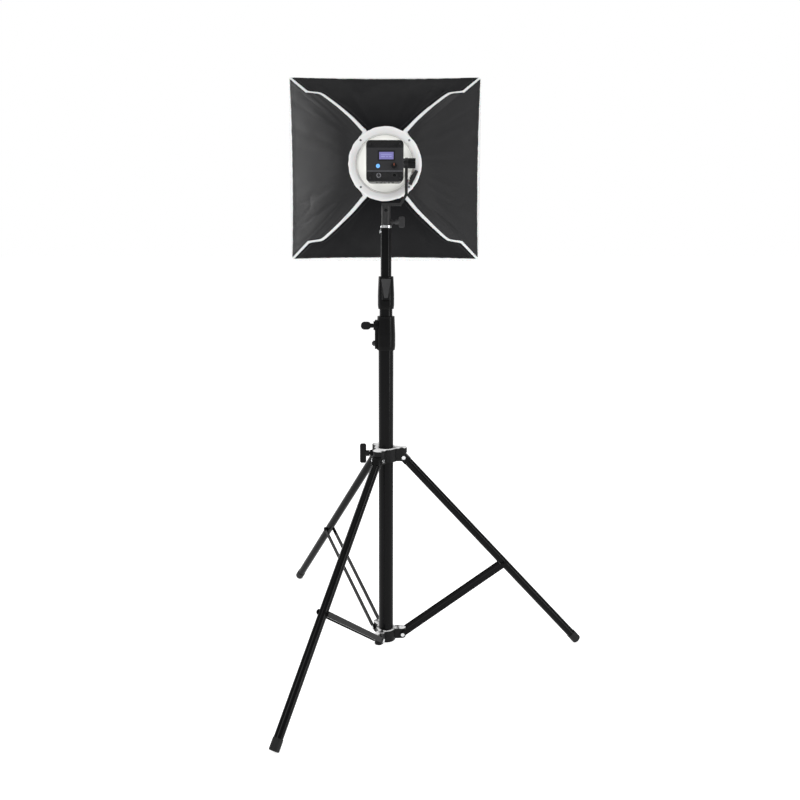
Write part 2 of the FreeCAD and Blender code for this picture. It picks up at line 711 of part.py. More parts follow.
def rib_frame(shape, azimuth):
    """Carry a shape from the rib plane at +X to its own diagonal about the light's axis."""
    return turned(shape, -azimuth, V(LAMP_X, 0, BOX_Z), Y)


def rib_point(radius, depth, across=0.0):
    return V(LAMP_X + radius, depth, BOX_Z + across)


def rib_brackets():
    hinge_r, hinge_y = RIB_HINGE
    outline = [(hinge_r - 21, 55), (hinge_r - 9.5, 55), (hinge_r - 7.5, 60.5), (hinge_r + 6, 60.5),
               (hinge_r + 6, hinge_y + 6), (hinge_r - 8, hinge_y + 6), (hinge_r - 21, hinge_y - 4)]
    brackets = []
    for azimuth in RIB_AZIMUTHS.values():
        cheeks = []
        for side in (-1, 1):
            near = 2.6 if side > 0 else -5.6
            points = [rib_point(r, y, near) for r, y in outline]
            cheeks.append(prism(points, V(0, 0, 3)))
        pin = rod(rib_point(*RIB_HINGE, -3), rib_point(*RIB_HINGE, 3), RIB_PIN_R)
        brackets.append(rib_frame(fused(cheeks + [pin]), azimuth))
    return brackets


def ring_sleeve():
    """The soft white collar round the plate, where the fabric gathers."""
    ring = disc(LAMP_X, BOX_Z, 50, 60, COLLAR_R)
    ring = softened(ring, 3, lambda edge: edge.CenterOfMass.y < 51)
    return ring.cut(disc(LAMP_X, BOX_Z, 49, 61, RING_PLATE_R))


def rib():
    """A bowed rod with an eye that turns in its bracket."""
    hinge = rib_point(*RIB_HINGE)
    tip = rib_point(*RIB_TIP)
    chord = tip - hinge
    backward = V(chord.y, -chord.x, 0).normalize()
    middle = (hinge + tip) * 0.5 + backward * RIB_BOW
    arc = Part.Arc(hinge, middle, tip).toShape()
    start_direction = arc.tangentAt(arc.FirstParameter)
    circle = Part.Wire(Part.makeCircle(RIB_R, hinge, start_direction))
    shaft = Part.Wire([arc]).makePipeShell([circle], True, False)
    eye = rod(rib_point(*RIB_HINGE, -2.3), rib_point(*RIB_HINGE, 2.3), 4)
    hole = rod(rib_point(*RIB_HINGE, -3), rib_point(*RIB_HINGE, 3), RIB_PIN_R + RUNNING_GAP)
    cap = Part.makeSphere(RIB_R + 1, tip - chord.normalize() * 1.0)
    return fused([shaft, eye, cap]).cut(hole)


def skirt_point(across, outward, inset, half_w, half_h):
    """A point of the upper skirt panel, for across in -1..1 and outward in 0..1."""
    angle = math.radians(45 * across)
    ring_r = COLLAR_R - inset
    ring_x = ring_r * math.sin(angle)
    ring_z = ring_r * math.cos(angle)
    rim_x = (half_w - inset) * across
    middle = 1 - across * across
    rim_z = half_h - inset - RIM_SCOOP * middle
    x = ring_x + (rim_x - ring_x) * outward
    z = ring_z + (rim_z - ring_z) * outward
    depth = SKIRT_BACK_Y + (RIM_Y - SKIRT_BACK_Y) * outward ** SKIRT_CURVE
    depth += SKIRT_SAG * middle * math.sin(math.pi * outward)
    return x, depth + inset * 0.8 * (1 - outward), z


def skirt_surface(quarter_turns, inset):
    """One curved panel surface, turned to its side of the box."""
    count = 9
    half_w, half_h = RIM_HALF_W, RIM_HALF_H
    if quarter_turns % 2:
        half_w, half_h = half_h, half_w
    turn = math.radians(-90 * quarter_turns)
    rows = []
    for i in range(count):
        row = []
        for j in range(count):
            across = -1 + 2 * i / (count - 1)
            x, y, z = skirt_point(across, j / (count - 1), inset, half_w, half_h)
            row.append(V(LAMP_X + x * math.cos(turn) - z * math.sin(turn), y,
                         BOX_Z + x * math.sin(turn) + z * math.cos(turn)))
        rows.append(row)
    surface = Part.BSplineSurface()
    surface.interpolate(rows)
    return surface


def skirt_panel(quarter_turns):
    """A thin closed solid between an outer and an inner panel surface."""
    outer = skirt_surface(quarter_turns, 0.0)
    inner = skirt_surface(quarter_turns, FABRIC)
    faces = [outer.toShape(), inner.toShape()]
    u0, u1, v0, v1 = outer.bounds()
    p0, p1, q0, q1 = inner.bounds()
    pairs = [
        (outer.uIso(u0), inner.uIso(p0)),
        (outer.uIso(u1), inner.uIso(p1)),
        (outer.vIso(v0), inner.vIso(q0)),
        (outer.vIso(v1), inner.vIso(q1)),
    ]
    for outer_edge, inner_edge in pairs:
        faces.append(Part.makeRuledSurface(outer_edge.toShape(), inner_edge.toShape()))
    shell = Part.Shell(faces)
    shell.sewShape()
    solid = Part.Solid(shell)
    if solid.Volume < 0:
        solid.reverse()
    return solid


def square_wire(half_w, half_h, corner, depth):
    """A rounded rectangle across the light's axis, as four lines and four arcs."""
    bulge = corner * (1 - math.sqrt(0.5))
    quadrants = [(1, 1), (-1, 1), (-1, -1), (1, -1)]
    edges = []
    last = None
    for index, (sx, sz) in enumerate(quadrants):
        on_side = V(LAMP_X + sx * half_w, depth, BOX_Z + sz * (half_h - corner))
        on_top = V(LAMP_X + sx * (half_w - corner), depth, BOX_Z + sz * half_h)
        middle = V(LAMP_X + sx * (half_w - bulge), depth, BOX_Z + sz * (half_h - bulge))
        start, end = (on_side, on_top) if index % 2 == 0 else (on_top, on_side)
        if last is None:
            first = start
        else:
            edges.append(Part.LineSegment(last, start).toShape())
        edges.append(Part.Arc(start, middle, end).toShape())
        last = end
    edges.append(Part.LineSegment(last, first).toShape())
    return Part.Wire(edges)


def front_diffuser():
    """The white front: a band that swells past the rim and closes in a soft dome."""
    sections = [(RIM_Y, 0.0, 4), (RIM_Y + 20, DIFFUSER_SWELL * 0.7, 9)]
    dome_steps = 6
    for k in range(dome_steps):
        turn = math.radians(15 * k)
        grow = DIFFUSER_SWELL - RIM_HALF_W * (1 - math.cos(turn) ** 0.8)
        depth = DIFFUSER_BAND + (DIFFUSER_DEPTH - DIFFUSER_BAND) * math.sin(turn)
        sections.append((RIM_Y + depth, grow, min(14 + 15 * k, 64)))
    outer = [square_wire(RIM_HALF_W + grow, RIM_HALF_H + grow, corner, y)
             for y, grow, corner in sections]
    inner = [square_wire(RIM_HALF_W + grow - FABRIC, RIM_HALF_H + grow - FABRIC,
                         max(corner - FABRIC, 2.5), y - FABRIC)
             for y, grow, corner in sections]
    return Part.makeLoft(outer, True).cut(Part.makeLoft(inner, True))


def release_latch():
    """The ribbed catch on the ring's lower right edge, with a tongue in its guide."""
    inner = LAMP_X + RING_PLATE_R + 1.8
    outer = inner + 8.5
    body = rounded_block(inner, outer, 41, 48.6, BOX_Z - 18, BOX_Z + 18, 2.5, Y)
    tongue = box(inner - 9, inner + 1, *TONGUE_Y, BOX_Z - TONGUE_HALF, BOX_Z + TONGUE_HALF)
    groove_count = 7
    grooves = []
    for k in range(groove_count):
        z = BOX_Z + (k - (groove_count - 1) / 2) * 4.4
        grooves.append(box(inner - 2, outer + 2, 40, 41.8, z - 1, z + 1))
    return rib_frame(body.cut(fused(grooves)).fuse(tongue), LATCH_AZIMUTH)


def latch_guide():
    """The slotted block on the ring that the catch slides in."""
    outer = LAMP_X + RING_PLATE_R - 0.6
    block = box(outer - 9, outer, 43.8, 52.5, BOX_Z - 9, BOX_Z + 9)
    gap = RUNNING_GAP
    slot = box(outer - 10, outer + 1, TONGUE_Y[0] - gap, TONGUE_Y[1] + gap,
               BOX_Z - TONGUE_HALF - gap, BOX_Z + TONGUE_HALF + gap)
    return rib_frame(block.cut(slot), LATCH_AZIMUTH)


# ---------------------------------------------------------------- write every sub-part


def write_stand():
    save("lower_tube", column_tube(LOWER_TUBE_SPAN, LOWER_TUBE_R))
    save("lower_clamp", lower_clamp())
    save("lower_clamp_bolt", lower_clamp_bolt())
    save("lower_hub", lower_hub())
    save("lower_hub_pins", pins(*BRACE_HINGE, LEG_R + LOOSE_GAP + BRACE_THICK + 0.2))
    save("leg_collar", leg_collar())
    save("leg_collar_plate", leg_collar_plate())
    save("leg_collar_pins", pins(*LEG_HINGE, FORK_HALF_WIDTH))
    save("middle_tube", column_tube(MIDDLE_TUBE_SPAN, MIDDLE_TUBE_R))
    save("middle_tube_bush", bush(MIDDLE_TUBE_SPAN[0], MIDDLE_TUBE_R,
                                  LOWER_TUBE_R - TUBE_WALL - RUNNING_GAP))
    save("middle_clamp", middle_clamp())
    save("upper_tube", column_tube(UPPER_TUBE_SPAN, UPPER_TUBE_R))
    save("upper_tube_bush", bush(UPPER_TUBE_SPAN[0], UPPER_TUBE_R,
                                 MIDDLE_TUBE_R - TUBE_WALL - RUNNING_GAP))
    save("spigot", spigot())
    save("spigot_screw", spigot_screw())
    for name, azimuth in LEG_AZIMUTHS.items():
        save("leg_top_" + name, turned(leg_top(), azimuth))
        save("leg_tube_" + name, turned(leg_tube(), azimuth))
        save("leg_foot_" + name, turned(leg_foot(), azimuth))
        save("brace_bars_" + name, turned(brace_bars(), azimuth))


def write_knobs():
    save("leg_collar_knob", leg_collar_knob())
    save("lower_clamp_knob", lower_clamp_knob())
    save("middle_clamp_knob", middle_clamp_knob())
    save("receiver_knob", receiver_knob())
    save("tilt_knob", tilt_knob())


def write_lamp():
    save("stand_receiver", stand_receiver())
    save("yoke_arm", yoke_arm())
    save("lamp_rear_cover", lamp_rear_cover())
    save("lamp_screws", lamp_screws())
    save("display_window", display_window())
    save("mode_button", push_button(MODE_BUTTON_AT, BUTTON_R, 2))
    save("power_button", push_button(POWER_BUTTON_AT, POWER_R, 1.5))
    save("brightness_dial", brightness_dial())
    save("power_inlet", power_inlet())
    save("lamp_housing", lamp_housing())
    save("tilt_boss", tilt_boss())
    save("heat_sink", heat_sink())
    save("led_module", led_module())
    save("fan_frame", fan_frame())
    save("fan_rotor", fan_rotor())
    save("mount_flange", mount_flange())


def write_softbox():
    save("speed_ring", speed_ring())
    save("ring_sleeve", ring_sleeve())
    save("release_latch", release_latch())
    for name, azimuth in RIB_AZIMUTHS.items():
        save("rib_" + name, rib_frame(rib(), azimuth))
    for quarter_turns, name in enumerate(("top", "right", "bottom", "left")):
        save("skirt_panel_" + name, skirt_panel(quarter_turns))
    save("front_diffuser", front_diffuser())


os.makedirs("parts", exist_ok=True)
write_stand()
write_knobs()
write_lamp()
write_softbox()
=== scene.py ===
"""Studio softbox on a folding light stand: fabric, finishes, light and camera.

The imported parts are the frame.  This script covers them with cloth, trims and
procedural materials, all in metres in the frame's own coordinates.
"""
import math
import bpy
import numpy as np
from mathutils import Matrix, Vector


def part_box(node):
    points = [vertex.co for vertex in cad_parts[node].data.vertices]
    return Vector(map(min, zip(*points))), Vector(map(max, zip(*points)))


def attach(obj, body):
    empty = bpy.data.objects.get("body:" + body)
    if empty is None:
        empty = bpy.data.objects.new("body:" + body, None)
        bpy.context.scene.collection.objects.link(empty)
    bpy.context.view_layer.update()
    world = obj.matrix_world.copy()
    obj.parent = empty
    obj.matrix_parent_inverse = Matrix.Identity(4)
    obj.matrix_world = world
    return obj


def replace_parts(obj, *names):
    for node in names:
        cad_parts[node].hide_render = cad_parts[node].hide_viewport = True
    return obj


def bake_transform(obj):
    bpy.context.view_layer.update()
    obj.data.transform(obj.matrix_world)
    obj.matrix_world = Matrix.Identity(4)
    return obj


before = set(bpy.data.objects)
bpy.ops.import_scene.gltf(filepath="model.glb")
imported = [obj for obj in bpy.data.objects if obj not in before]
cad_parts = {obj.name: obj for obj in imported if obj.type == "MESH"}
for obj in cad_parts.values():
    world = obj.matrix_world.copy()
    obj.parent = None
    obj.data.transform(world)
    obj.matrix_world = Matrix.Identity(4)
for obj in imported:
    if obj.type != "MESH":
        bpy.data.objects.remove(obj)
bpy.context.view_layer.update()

# ------------------------------------------------------------------ sizes from the frame
SLEEVE_LOW, SLEEVE_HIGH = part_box("ring_sleeve")
TOP_LOW, TOP_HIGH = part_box("skirt_panel_top")
RIGHT_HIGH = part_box("skirt_panel_right")[1]
FRONT_LOW, FRONT_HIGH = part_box("front_diffuser")
COVER_LOW, COVER_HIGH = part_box("lamp_rear_cover")
WINDOW_LOW, WINDOW_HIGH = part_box("display_window")
DIAL_LOW, DIAL_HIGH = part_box("brightness_dial")

CENTRE_X = (SLEEVE_LOW.x + SLEEVE_HIGH.x) / 2
CENTRE_Z = (SLEEVE_LOW.z + SLEEVE_HIGH.z) / 2
RING_R = (SLEEVE_HIGH.x - SLEEVE_LOW.x) / 2
PLATE_R = 0.0672       # rim of the cream plate inside the gathered collar
RIM_W = RIGHT_HIGH.x - CENTRE_X
RIM_H = TOP_HIGH.z - CENTRE_Z
BACK_Y = TOP_LOW.y
RIM_Y = FRONT_LOW.y
FRONT_Y = FRONT_HIGH.y
INSIDE = np.array((CENTRE_X, (BACK_Y + FRONT_Y) / 2, CENTRE_Z))

# ------------------------------------------------------------------ cut of the cloth
SCOOP = 0.004          # how far the middle of each rim edge is drawn in
SKIRT_CURVE = 1.4      # the skirt leaves the ring steeply and flares later
SAG = 0.009
CLOTH = 0.0007
FLAP_LIFT = 0.0012     # the black flaps lie this far over the white lining
HALF_GAP = 0.0038      # half of the white line between two flaps
HEM = 0.009
SWELL = 0.007          # the white front bulges this far past the rim
BAND = 0.040           # depth of the front's straight wall
WALL_SHARE = 0.22      # share of the front's pattern that the wall takes
HEM_THICKNESS = 0.0006
CUT_DROP = 0.0007      # a cut edge turns down by this much...
CUT_REACH = 0.0008     # ...within this distance of the edge
SEAM_INSET = HEM * 0.8
THREAD_LIFT = 0.0002

TOP, RIGHT, BOTTOM, LEFT = range(4)
SIDES = ("top", "right", "bottom", "left")
CORNERS = {
    (TOP, 1): "upper_right", (TOP, -1): "upper_left",
    (RIGHT, -1): "upper_right", (RIGHT, 1): "lower_right",
    (BOTTOM, 1): "lower_left", (BOTTOM, -1): "lower_right",
    (LEFT, 1): "upper_left", (LEFT, -1): "lower_left",
}

# The middle of the white line across the top and bottom sectors: how far out
# from the ring, and how far across from the sector's middle to the rib.
GAP_PATH = ((0.0, 0.70), (0.03, 0.712), (0.06, 0.722), (0.22, 0.735), (0.46, 0.783),
            (0.66, 0.833), (0.70, 0.852), (0.713, 0.88), (0.724, 0.965), (0.742, 1.0), (1.0, 1.0))
JOG_START, JOG_END = 0.708, 0.742
FLARE = 0.028          # the laps curve away into the ring below this step outward


# ------------------------------------------------------------------ shaders
def group_tree(name, inputs, outputs):
    """A shader node group with named sockets, and its two end nodes."""
    tree = bpy.data.node_groups.new(name, "ShaderNodeTree")
    for label, kind, value in inputs:
        socket = tree.interface.new_socket(label, in_out="INPUT", socket_type=kind)
        if value is not None:
            socket.default_value = value
    for label, kind in outputs:
        tree.interface.new_socket(label, in_out="OUTPUT", socket_type=kind)
    return tree, tree.nodes.new("NodeGroupInput"), tree.nodes.new("NodeGroupOutput")


def math_node(tree, operation, first, second=None):
    node = tree.nodes.new("ShaderNodeMath")
    node.operation = operation
    for socket, value in zip(node.inputs, (first, second)):
        if value is None:
            continue
        if isinstance(value, (int, float)):
            socket.default_value = value
        else:
            tree.links.new(value, socket)
    return node.outputs[0]


FLOAT, VECTOR = "NodeSocketFloat", "NodeSocketVector"


def build_grain():
    """Fine surface grain with slow cloudiness: gives a value round one half."""
    tree, given, result = group_tree(
        "Grain", [("Vector", VECTOR, None), ("Scale", FLOAT, 900.0), ("Cloud Scale", FLOAT, 14.0)],
        [("Fine", FLOAT), ("Cloud", FLOAT)])
    for label, scale, detail in (("Fine", "Scale", 4.0), ("Cloud", "Cloud Scale", 3.0)):
        noise = tree.nodes.new("ShaderNodeTexNoise")
        noise.inputs["Detail"].default_value = detail
        noise.inputs["Roughness"].default_value = 0.6
        tree.links.new(given.outputs["Vector"], noise.inputs["Vector"])
        tree.links.new(given.outputs[scale], noise.inputs["Scale"])
        tree.links.new(noise.outputs["Fac"], result.inputs[label])
    return tree


def build_weave():
    """Plain weave from a cloth's own UV, in metres: over and under threads."""
    tree, given, result = group_tree(
        "Weave", [("Threads", FLOAT, 1400.0)], [("Height", FLOAT)])
    uv = tree.nodes.new("ShaderNodeUVMap")
    uv.uv_map = "cloth"
    split = tree.nodes.new("ShaderNodeSeparateXYZ")
    tree.links.new(uv.outputs["UV"], split.inputs[0])
    turn = math_node(tree, "MULTIPLY", given.outputs["Threads"], math.pi)
    warp = math_node(tree, "SINE", math_node(tree, "MULTIPLY", split.outputs["X"], turn))
    weft = math_node(tree, "SINE", math_node(tree, "MULTIPLY", split.outputs["Y"], turn))
    crossing = math_node(tree, "MULTIPLY", warp, weft)
    warp_high = math_node(tree, "ABSOLUTE", warp)
    weft_high = math_node(tree, "ABSOLUTE", weft)
    mix = tree.nodes.new("ShaderNodeMix")
    tree.links.new(math_node(tree, "GREATER_THAN", crossing, 0.0), mix.inputs[0])
    tree.links.new(warp_high, mix.inputs[2])
    tree.links.new(weft_high, mix.inputs[3])
    tree.links.new(mix.outputs[0], result.inputs["Height"])
    return tree


def build_wear():
    """Where corners stand out, broken up by noise: 1 on worn edges, 0 elsewhere."""
    tree, given, result = group_tree(
        "Edge Wear", [("Vector", VECTOR, None), ("Amount", FLOAT, 0.5)], [("Mask", FLOAT)])
    geometry = tree.nodes.new("ShaderNodeNewGeometry")
    noise = tree.nodes.new("ShaderNodeTexNoise")
    noise.inputs["Scale"].default_value = 160.0
    noise.inputs["Detail"].default_value = 5.0
    tree.links.new(given.outputs["Vector"], noise.inputs["Vector"])
    edge = tree.nodes.new("ShaderNodeMapRange")
    edge.inputs["From Min"].default_value = 0.53
    edge.inputs["From Max"].default_value = 0.62
    tree.links.new(geometry.outputs["Pointiness"], edge.inputs["Value"])
    broken = math_node(tree, "MULTIPLY", edge.outputs[0], noise.outputs["Fac"])
    tree.links.new(math_node(tree, "MULTIPLY", broken, given.outputs["Amount"]),
                   result.inputs["Mask"])
    return tree


GRAIN, WEAVE, WEAR = build_grain(), build_weave(), build_wear()


class Finish:
    """A material under construction: one Principled shader and its pattern nodes."""

    def __init__(self, name, colour, roughness, metallic=0.0):
        self.material = bpy.data.materials.new(name)
        self.material.use_nodes = True
        self.material.diffuse_color = (*colour, 1)
        self.tree = self.material.node_tree
        self.shader = self.tree.nodes["Principled BSDF"]
        self.colour = (*colour, 1)
        self.set("Base Color", self.colour)
        self.set("Roughness", roughness)
        self.set("Metallic", metallic)
        self.place = self.tree.nodes.new("ShaderNodeTexCoord").outputs["Object"]
        self.paint = None

    def set(self, socket, value):
        self.shader.inputs[socket].default_value = value
        return self

    def group(self, tree, **values):
        node = self.tree.nodes.new("ShaderNodeGroup")
        node.node_tree = tree
        for label, value in values.items():
            node.inputs[label.replace("_", " ")].default_value = value
        if "Vector" in node.inputs:
            self.tree.links.new(self.place, node.inputs["Vector"])
        return node

    def mix_colour(self, mask, colour, base=None):
        """Lays another colour over the base where the mask is high."""
        node = self.tree.nodes.new("ShaderNodeMix")
        node.data_type = "RGBA"
        self.tree.links.new(mask, node.inputs[0])
        if self.paint is None:
            node.inputs[6].default_value = base or self.colour
        else:
            self.tree.links.new(self.paint, node.inputs[6])
        node.inputs[7].default_value = colour
        self.paint = node.outputs[2]
        self.tree.links.new(self.paint, self.shader.inputs["Base Color"])
        return self

    def vary_roughness(self, value, low, high, low_from=0.35, high_from=0.65):
        node = self.tree.nodes.new("ShaderNodeMapRange")
        node.inputs["From Min"].default_value = low_from
        node.inputs["From Max"].default_value = high_from
        node.inputs["To Min"].default_value = low
        node.inputs["To Max"].default_value = high
        self.tree.links.new(value, node.inputs["Value"])
        self.tree.links.new(node.outputs[0], self.shader.inputs["Roughness"])
        return self

    def bump(self, height, distance, strength=0.6):
        node = self.tree.nodes.new("ShaderNodeBump")
        node.inputs["Distance"].default_value = distance
        node.inputs["Strength"].default_value = strength
        self.tree.links.new(height, node.inputs["Height"])
        self.tree.links.new(node.outputs[0], self.shader.inputs["Normal"])
        return self

    def axis(self, name):
        split = self.tree.nodes.new("ShaderNodeSeparateXYZ")
        self.tree.links.new(self.place, split.inputs[0])
        return split.outputs[name]

    def between(self, value, low, high):
        above = math_node(self.tree, "GREATER_THAN", value, low)
        below = math_node(self.tree, "LESS_THAN", value, high)
        return math_node(self.tree, "MULTIPLY", above, below)


def shade(colour, factor):
    return tuple(min(1.0, c * factor) for c in colour[:3]) + (1,)


def painted(name, colour, roughness, grain=900.0, depth=0.00004, wear=0.1, coat=0.0,
            metallic=0.0, spread=0.04, specular=0.35):
    """Paint or moulded plastic: cloudy sheen, fine grain and slightly worn edges."""
    finish = Finish(name, colour, roughness, metallic)
    pattern = finish.group(GRAIN, Scale=grain)
    finish.mix_colour(pattern.outputs["Cloud"], shade(colour, 1.12), shade(colour, 0.9))
    finish.set("Specular IOR Level", specular)
    if wear:
        mask = finish.group(WEAR, Amount=wear)
        finish.mix_colour(mask.outputs["Mask"], shade((0.5, 0.5, 0.5), 0.6))
    finish.vary_roughness(pattern.outputs["Cloud"], roughness - spread, roughness + spread)
    finish.bump(pattern.outputs["Fine"], depth)
    if coat:
        finish.set("Coat Weight", coat).set("Coat Roughness", 0.12)
    return finish


def cloth_finish(name, colour, threads, depth, sheen, roughness, through=0.0, specular=0.5):
    """Woven cloth: weave from its UV, faint cloudiness and a soft sheen."""
    finish = Finish(name, colour, roughness)
    pattern = finish.group(GRAIN, Scale=500.0, Cloud_Scale=9.0)
    weave = finish.group(WEAVE, Threads=threads)
    finish.mix_colour(pattern.outputs["Cloud"], shade(colour, 1.06), shade(colour, 0.94))
    finish.vary_roughness(pattern.outputs["Cloud"], roughness - 0.05, roughness + 0.05)
    finish.bump(weave.outputs["Height"], depth, 0.6)
    finish.set("Sheen Weight", sheen).set("Sheen Roughness", 0.4)
    finish.set("Specular IOR Level", specular)
    if through:
        finish.set("Subsurface Weight", through).set("Subsurface Scale", 0.004)
    return finish


SURROUND = 0.0028       # width of the dark frame round the display


def cover_finish():
    """The lamp's rear moulding: gloss band, grey panel, thin light line, black foot."""
    height = COVER_HIGH.z - COVER_LOW.z
    finish = painted("lamp_cover_bands", (0.004, 0.004, 0.0045), 0.22, wear=0.06, coat=0.2,
                     specular=0.2)
    z, y = finish.axis("Z"), finish.axis("Y")
    rear = math_node(finish.tree, "LESS_THAN", y, COVER_LOW.y + 0.0006)
    panel = finish.between(z, COVER_LOW.z + height * 0.265, COVER_LOW.z + height * 0.815)
    panel = math_node(finish.tree, "MULTIPLY", panel, rear)
    finish.mix_colour(panel, (0.017, 0.017, 0.0185, 1))
    surround = math_node(
        finish.tree, "MULTIPLY",
        finish.between(finish.axis("X"), WINDOW_LOW.x - SURROUND, WINDOW_HIGH.x + SURROUND),
        finish.between(z, WINDOW_LOW.z - SURROUND, WINDOW_HIGH.z + SURROUND))
    finish.mix_colour(math_node(finish.tree, "MULTIPLY", surround, rear), (0.003, 0.003, 0.004, 1))
    line = finish.between(z, COVER_LOW.z + height * 0.252, COVER_LOW.z + height * 0.265)
    line = math_node(finish.tree, "MULTIPLY", line, rear)
    finish.mix_colour(line, (0.11, 0.11, 0.12, 1))
    finish.vary_roughness(panel, 0.2, 0.45, 0.0, 1.0)
    return finish


def distance_from(finish, x, z):
    """How far a point of the surface lies from one line along Y, in metres."""
    flat = [math_node(finish.tree, "POWER", math_node(finish.tree, "SUBTRACT", finish.axis(name), at),
                      2.0) for name, at in (("X", x), ("Z", z))]
    return math_node(finish.tree, "SQRT", math_node(finish.tree, "ADD", *flat))


def power_finish():
    """A black push button with a light broken ring on its face."""
    low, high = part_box("power_button")
    x, z = (low.x + high.x) / 2, (low.z + high.z) / 2
    finish = painted("power_key", (0.01, 0.01, 0.011), 0.3)
    ring = finish.between(distance_from(finish, x, z), 0.0037, 0.0046)
    gap = math_node(finish.tree, "MULTIPLY",
                    finish.between(finish.axis("X"), x - 0.0012, x + 0.0012),
                    math_node(finish.tree, "GREATER_THAN", finish.axis("Z"), z))
    mask = math_node(finish.tree, "SUBTRACT", ring, math_node(finish.tree, "MULTIPLY", ring, gap))
    finish.mix_colour(mask, (0.26, 0.26, 0.28, 1))
    return finish


def plate_finish():
    """Cream moulding with a thin dark joint line near its edge."""
    finish = painted("cream_ring", (0.88, 0.88, 0.845), 0.42, 500, 0.00002, 0.0, spread=0.08,
                     specular=0.5)
    joint = finish.between(distance_from(finish, CENTRE_X, CENTRE_Z), PLATE_R - 0.0022,
                           PLATE_R - 0.0012)
    finish.mix_colour(joint, (0.22, 0.22, 0.22, 1))
    return finish


def screen_finish():
    """A lit display: black surround, violet-blue field and plain lighter bars."""
    finish = Finish("lit_screen", (0.002, 0.002, 0.003), 0.12)
    x, z = finish.axis("X"), finish.axis("Z")
    width = WINDOW_HIGH.x - WINDOW_LOW.x
    height = WINDOW_HIGH.z - WINDOW_LOW.z
    inset = 0.0005
    field = math_node(finish.tree, "MULTIPLY",
                      finish.between(x, WINDOW_LOW.x + inset, WINDOW_HIGH.x - inset),
                      finish.between(z, WINDOW_LOW.z + inset, WINDOW_HIGH.z - inset))
    bars = None
    for left, right, low, high in ((0.14, 0.40, 0.34, 0.44), (0.48, 0.60, 0.34, 0.44),
                                   (0.14, 0.86, 0.60, 0.68), (0.68, 0.86, 0.34, 0.44)):
        bar = math_node(finish.tree, "MULTIPLY",
                        finish.between(x, WINDOW_LOW.x + width * left,
                                       WINDOW_LOW.x + width * right),
                        finish.between(z, WINDOW_LOW.z + height * low,
                                       WINDOW_LOW.z + height * high))
        bars = bar if bars is None else math_node(finish.tree, "MAXIMUM", bars, bar)
    finish.mix_colour(field, (0.15, 0.14, 0.33, 1))
    finish.mix_colour(bars, (0.24, 0.24, 0.46, 1))
    finish.tree.links.new(finish.paint, finish.shader.inputs["Emission Color"])
    finish.tree.links.new(math_node(finish.tree, "MULTIPLY", field, 0.12),
                          finish.shader.inputs["Emission Strength"])
    return finish


def bright_metal(name, colour, roughness, mottle):
    """Plated or polished metal, blotchy where it is handled."""
    finish = Finish(name, colour, roughness, 1.0)
    pattern = finish.group(GRAIN, Scale=420.0, Cloud_Scale=mottle)
    finish.mix_colour(pattern.outputs["Cloud"], shade(colour, 1.15), shade(colour, 0.6))
    finish.vary_roughness(pattern.outputs["Cloud"], roughness * 0.7, roughness * 1.5)
    finish.bump(pattern.outputs["Fine"], 0.00006)
    return finish


def painted_reflection_finish(name, threshold):
    """Black casting with painted reflections: bright blotches painted on the faces that point up."""
    finish = painted(name, (0.004, 0.004, 0.0042), 0.33, wear=0.03, specular=0.08)
    split = finish.tree.nodes.new("ShaderNodeSeparateXYZ")
    geometry = finish.tree.nodes.new("ShaderNodeNewGeometry")
    finish.tree.links.new(geometry.outputs["Normal"], split.inputs[0])
    up = math_node(finish.tree, "GREATER_THAN", split.outputs["Z"], 0.7)
    cloud = finish.group(GRAIN, Scale=300.0, Cloud_Scale=60.0)
    painted_reflection = finish.tree.nodes.new("ShaderNodeMapRange")
    painted_reflection.inputs["From Min"].default_value = threshold - 0.06
    painted_reflection.inputs["From Max"].default_value = threshold + 0.06
    finish.tree.links.new(cloud.outputs["Cloud"], painted_reflection.inputs["Value"])
    mask = math_node(finish.tree, "MULTIPLY", up, painted_reflection.outputs[0])
    # Painted reflection: near-white blotches on upward faces, standing in for the bright surroundings
    # they mirror.
    finish.mix_colour(mask, (0.9, 0.9, 0.9, 1))
    finish.vary_roughness(mask, 0.33, 0.5, 0.0, 1.0)
    return finish


def glowing(name, colour, strength):
    finish = Finish(name, colour, 0.25)
    finish.set("Emission Color", finish.colour).set("Emission Strength", strength)
    return finish


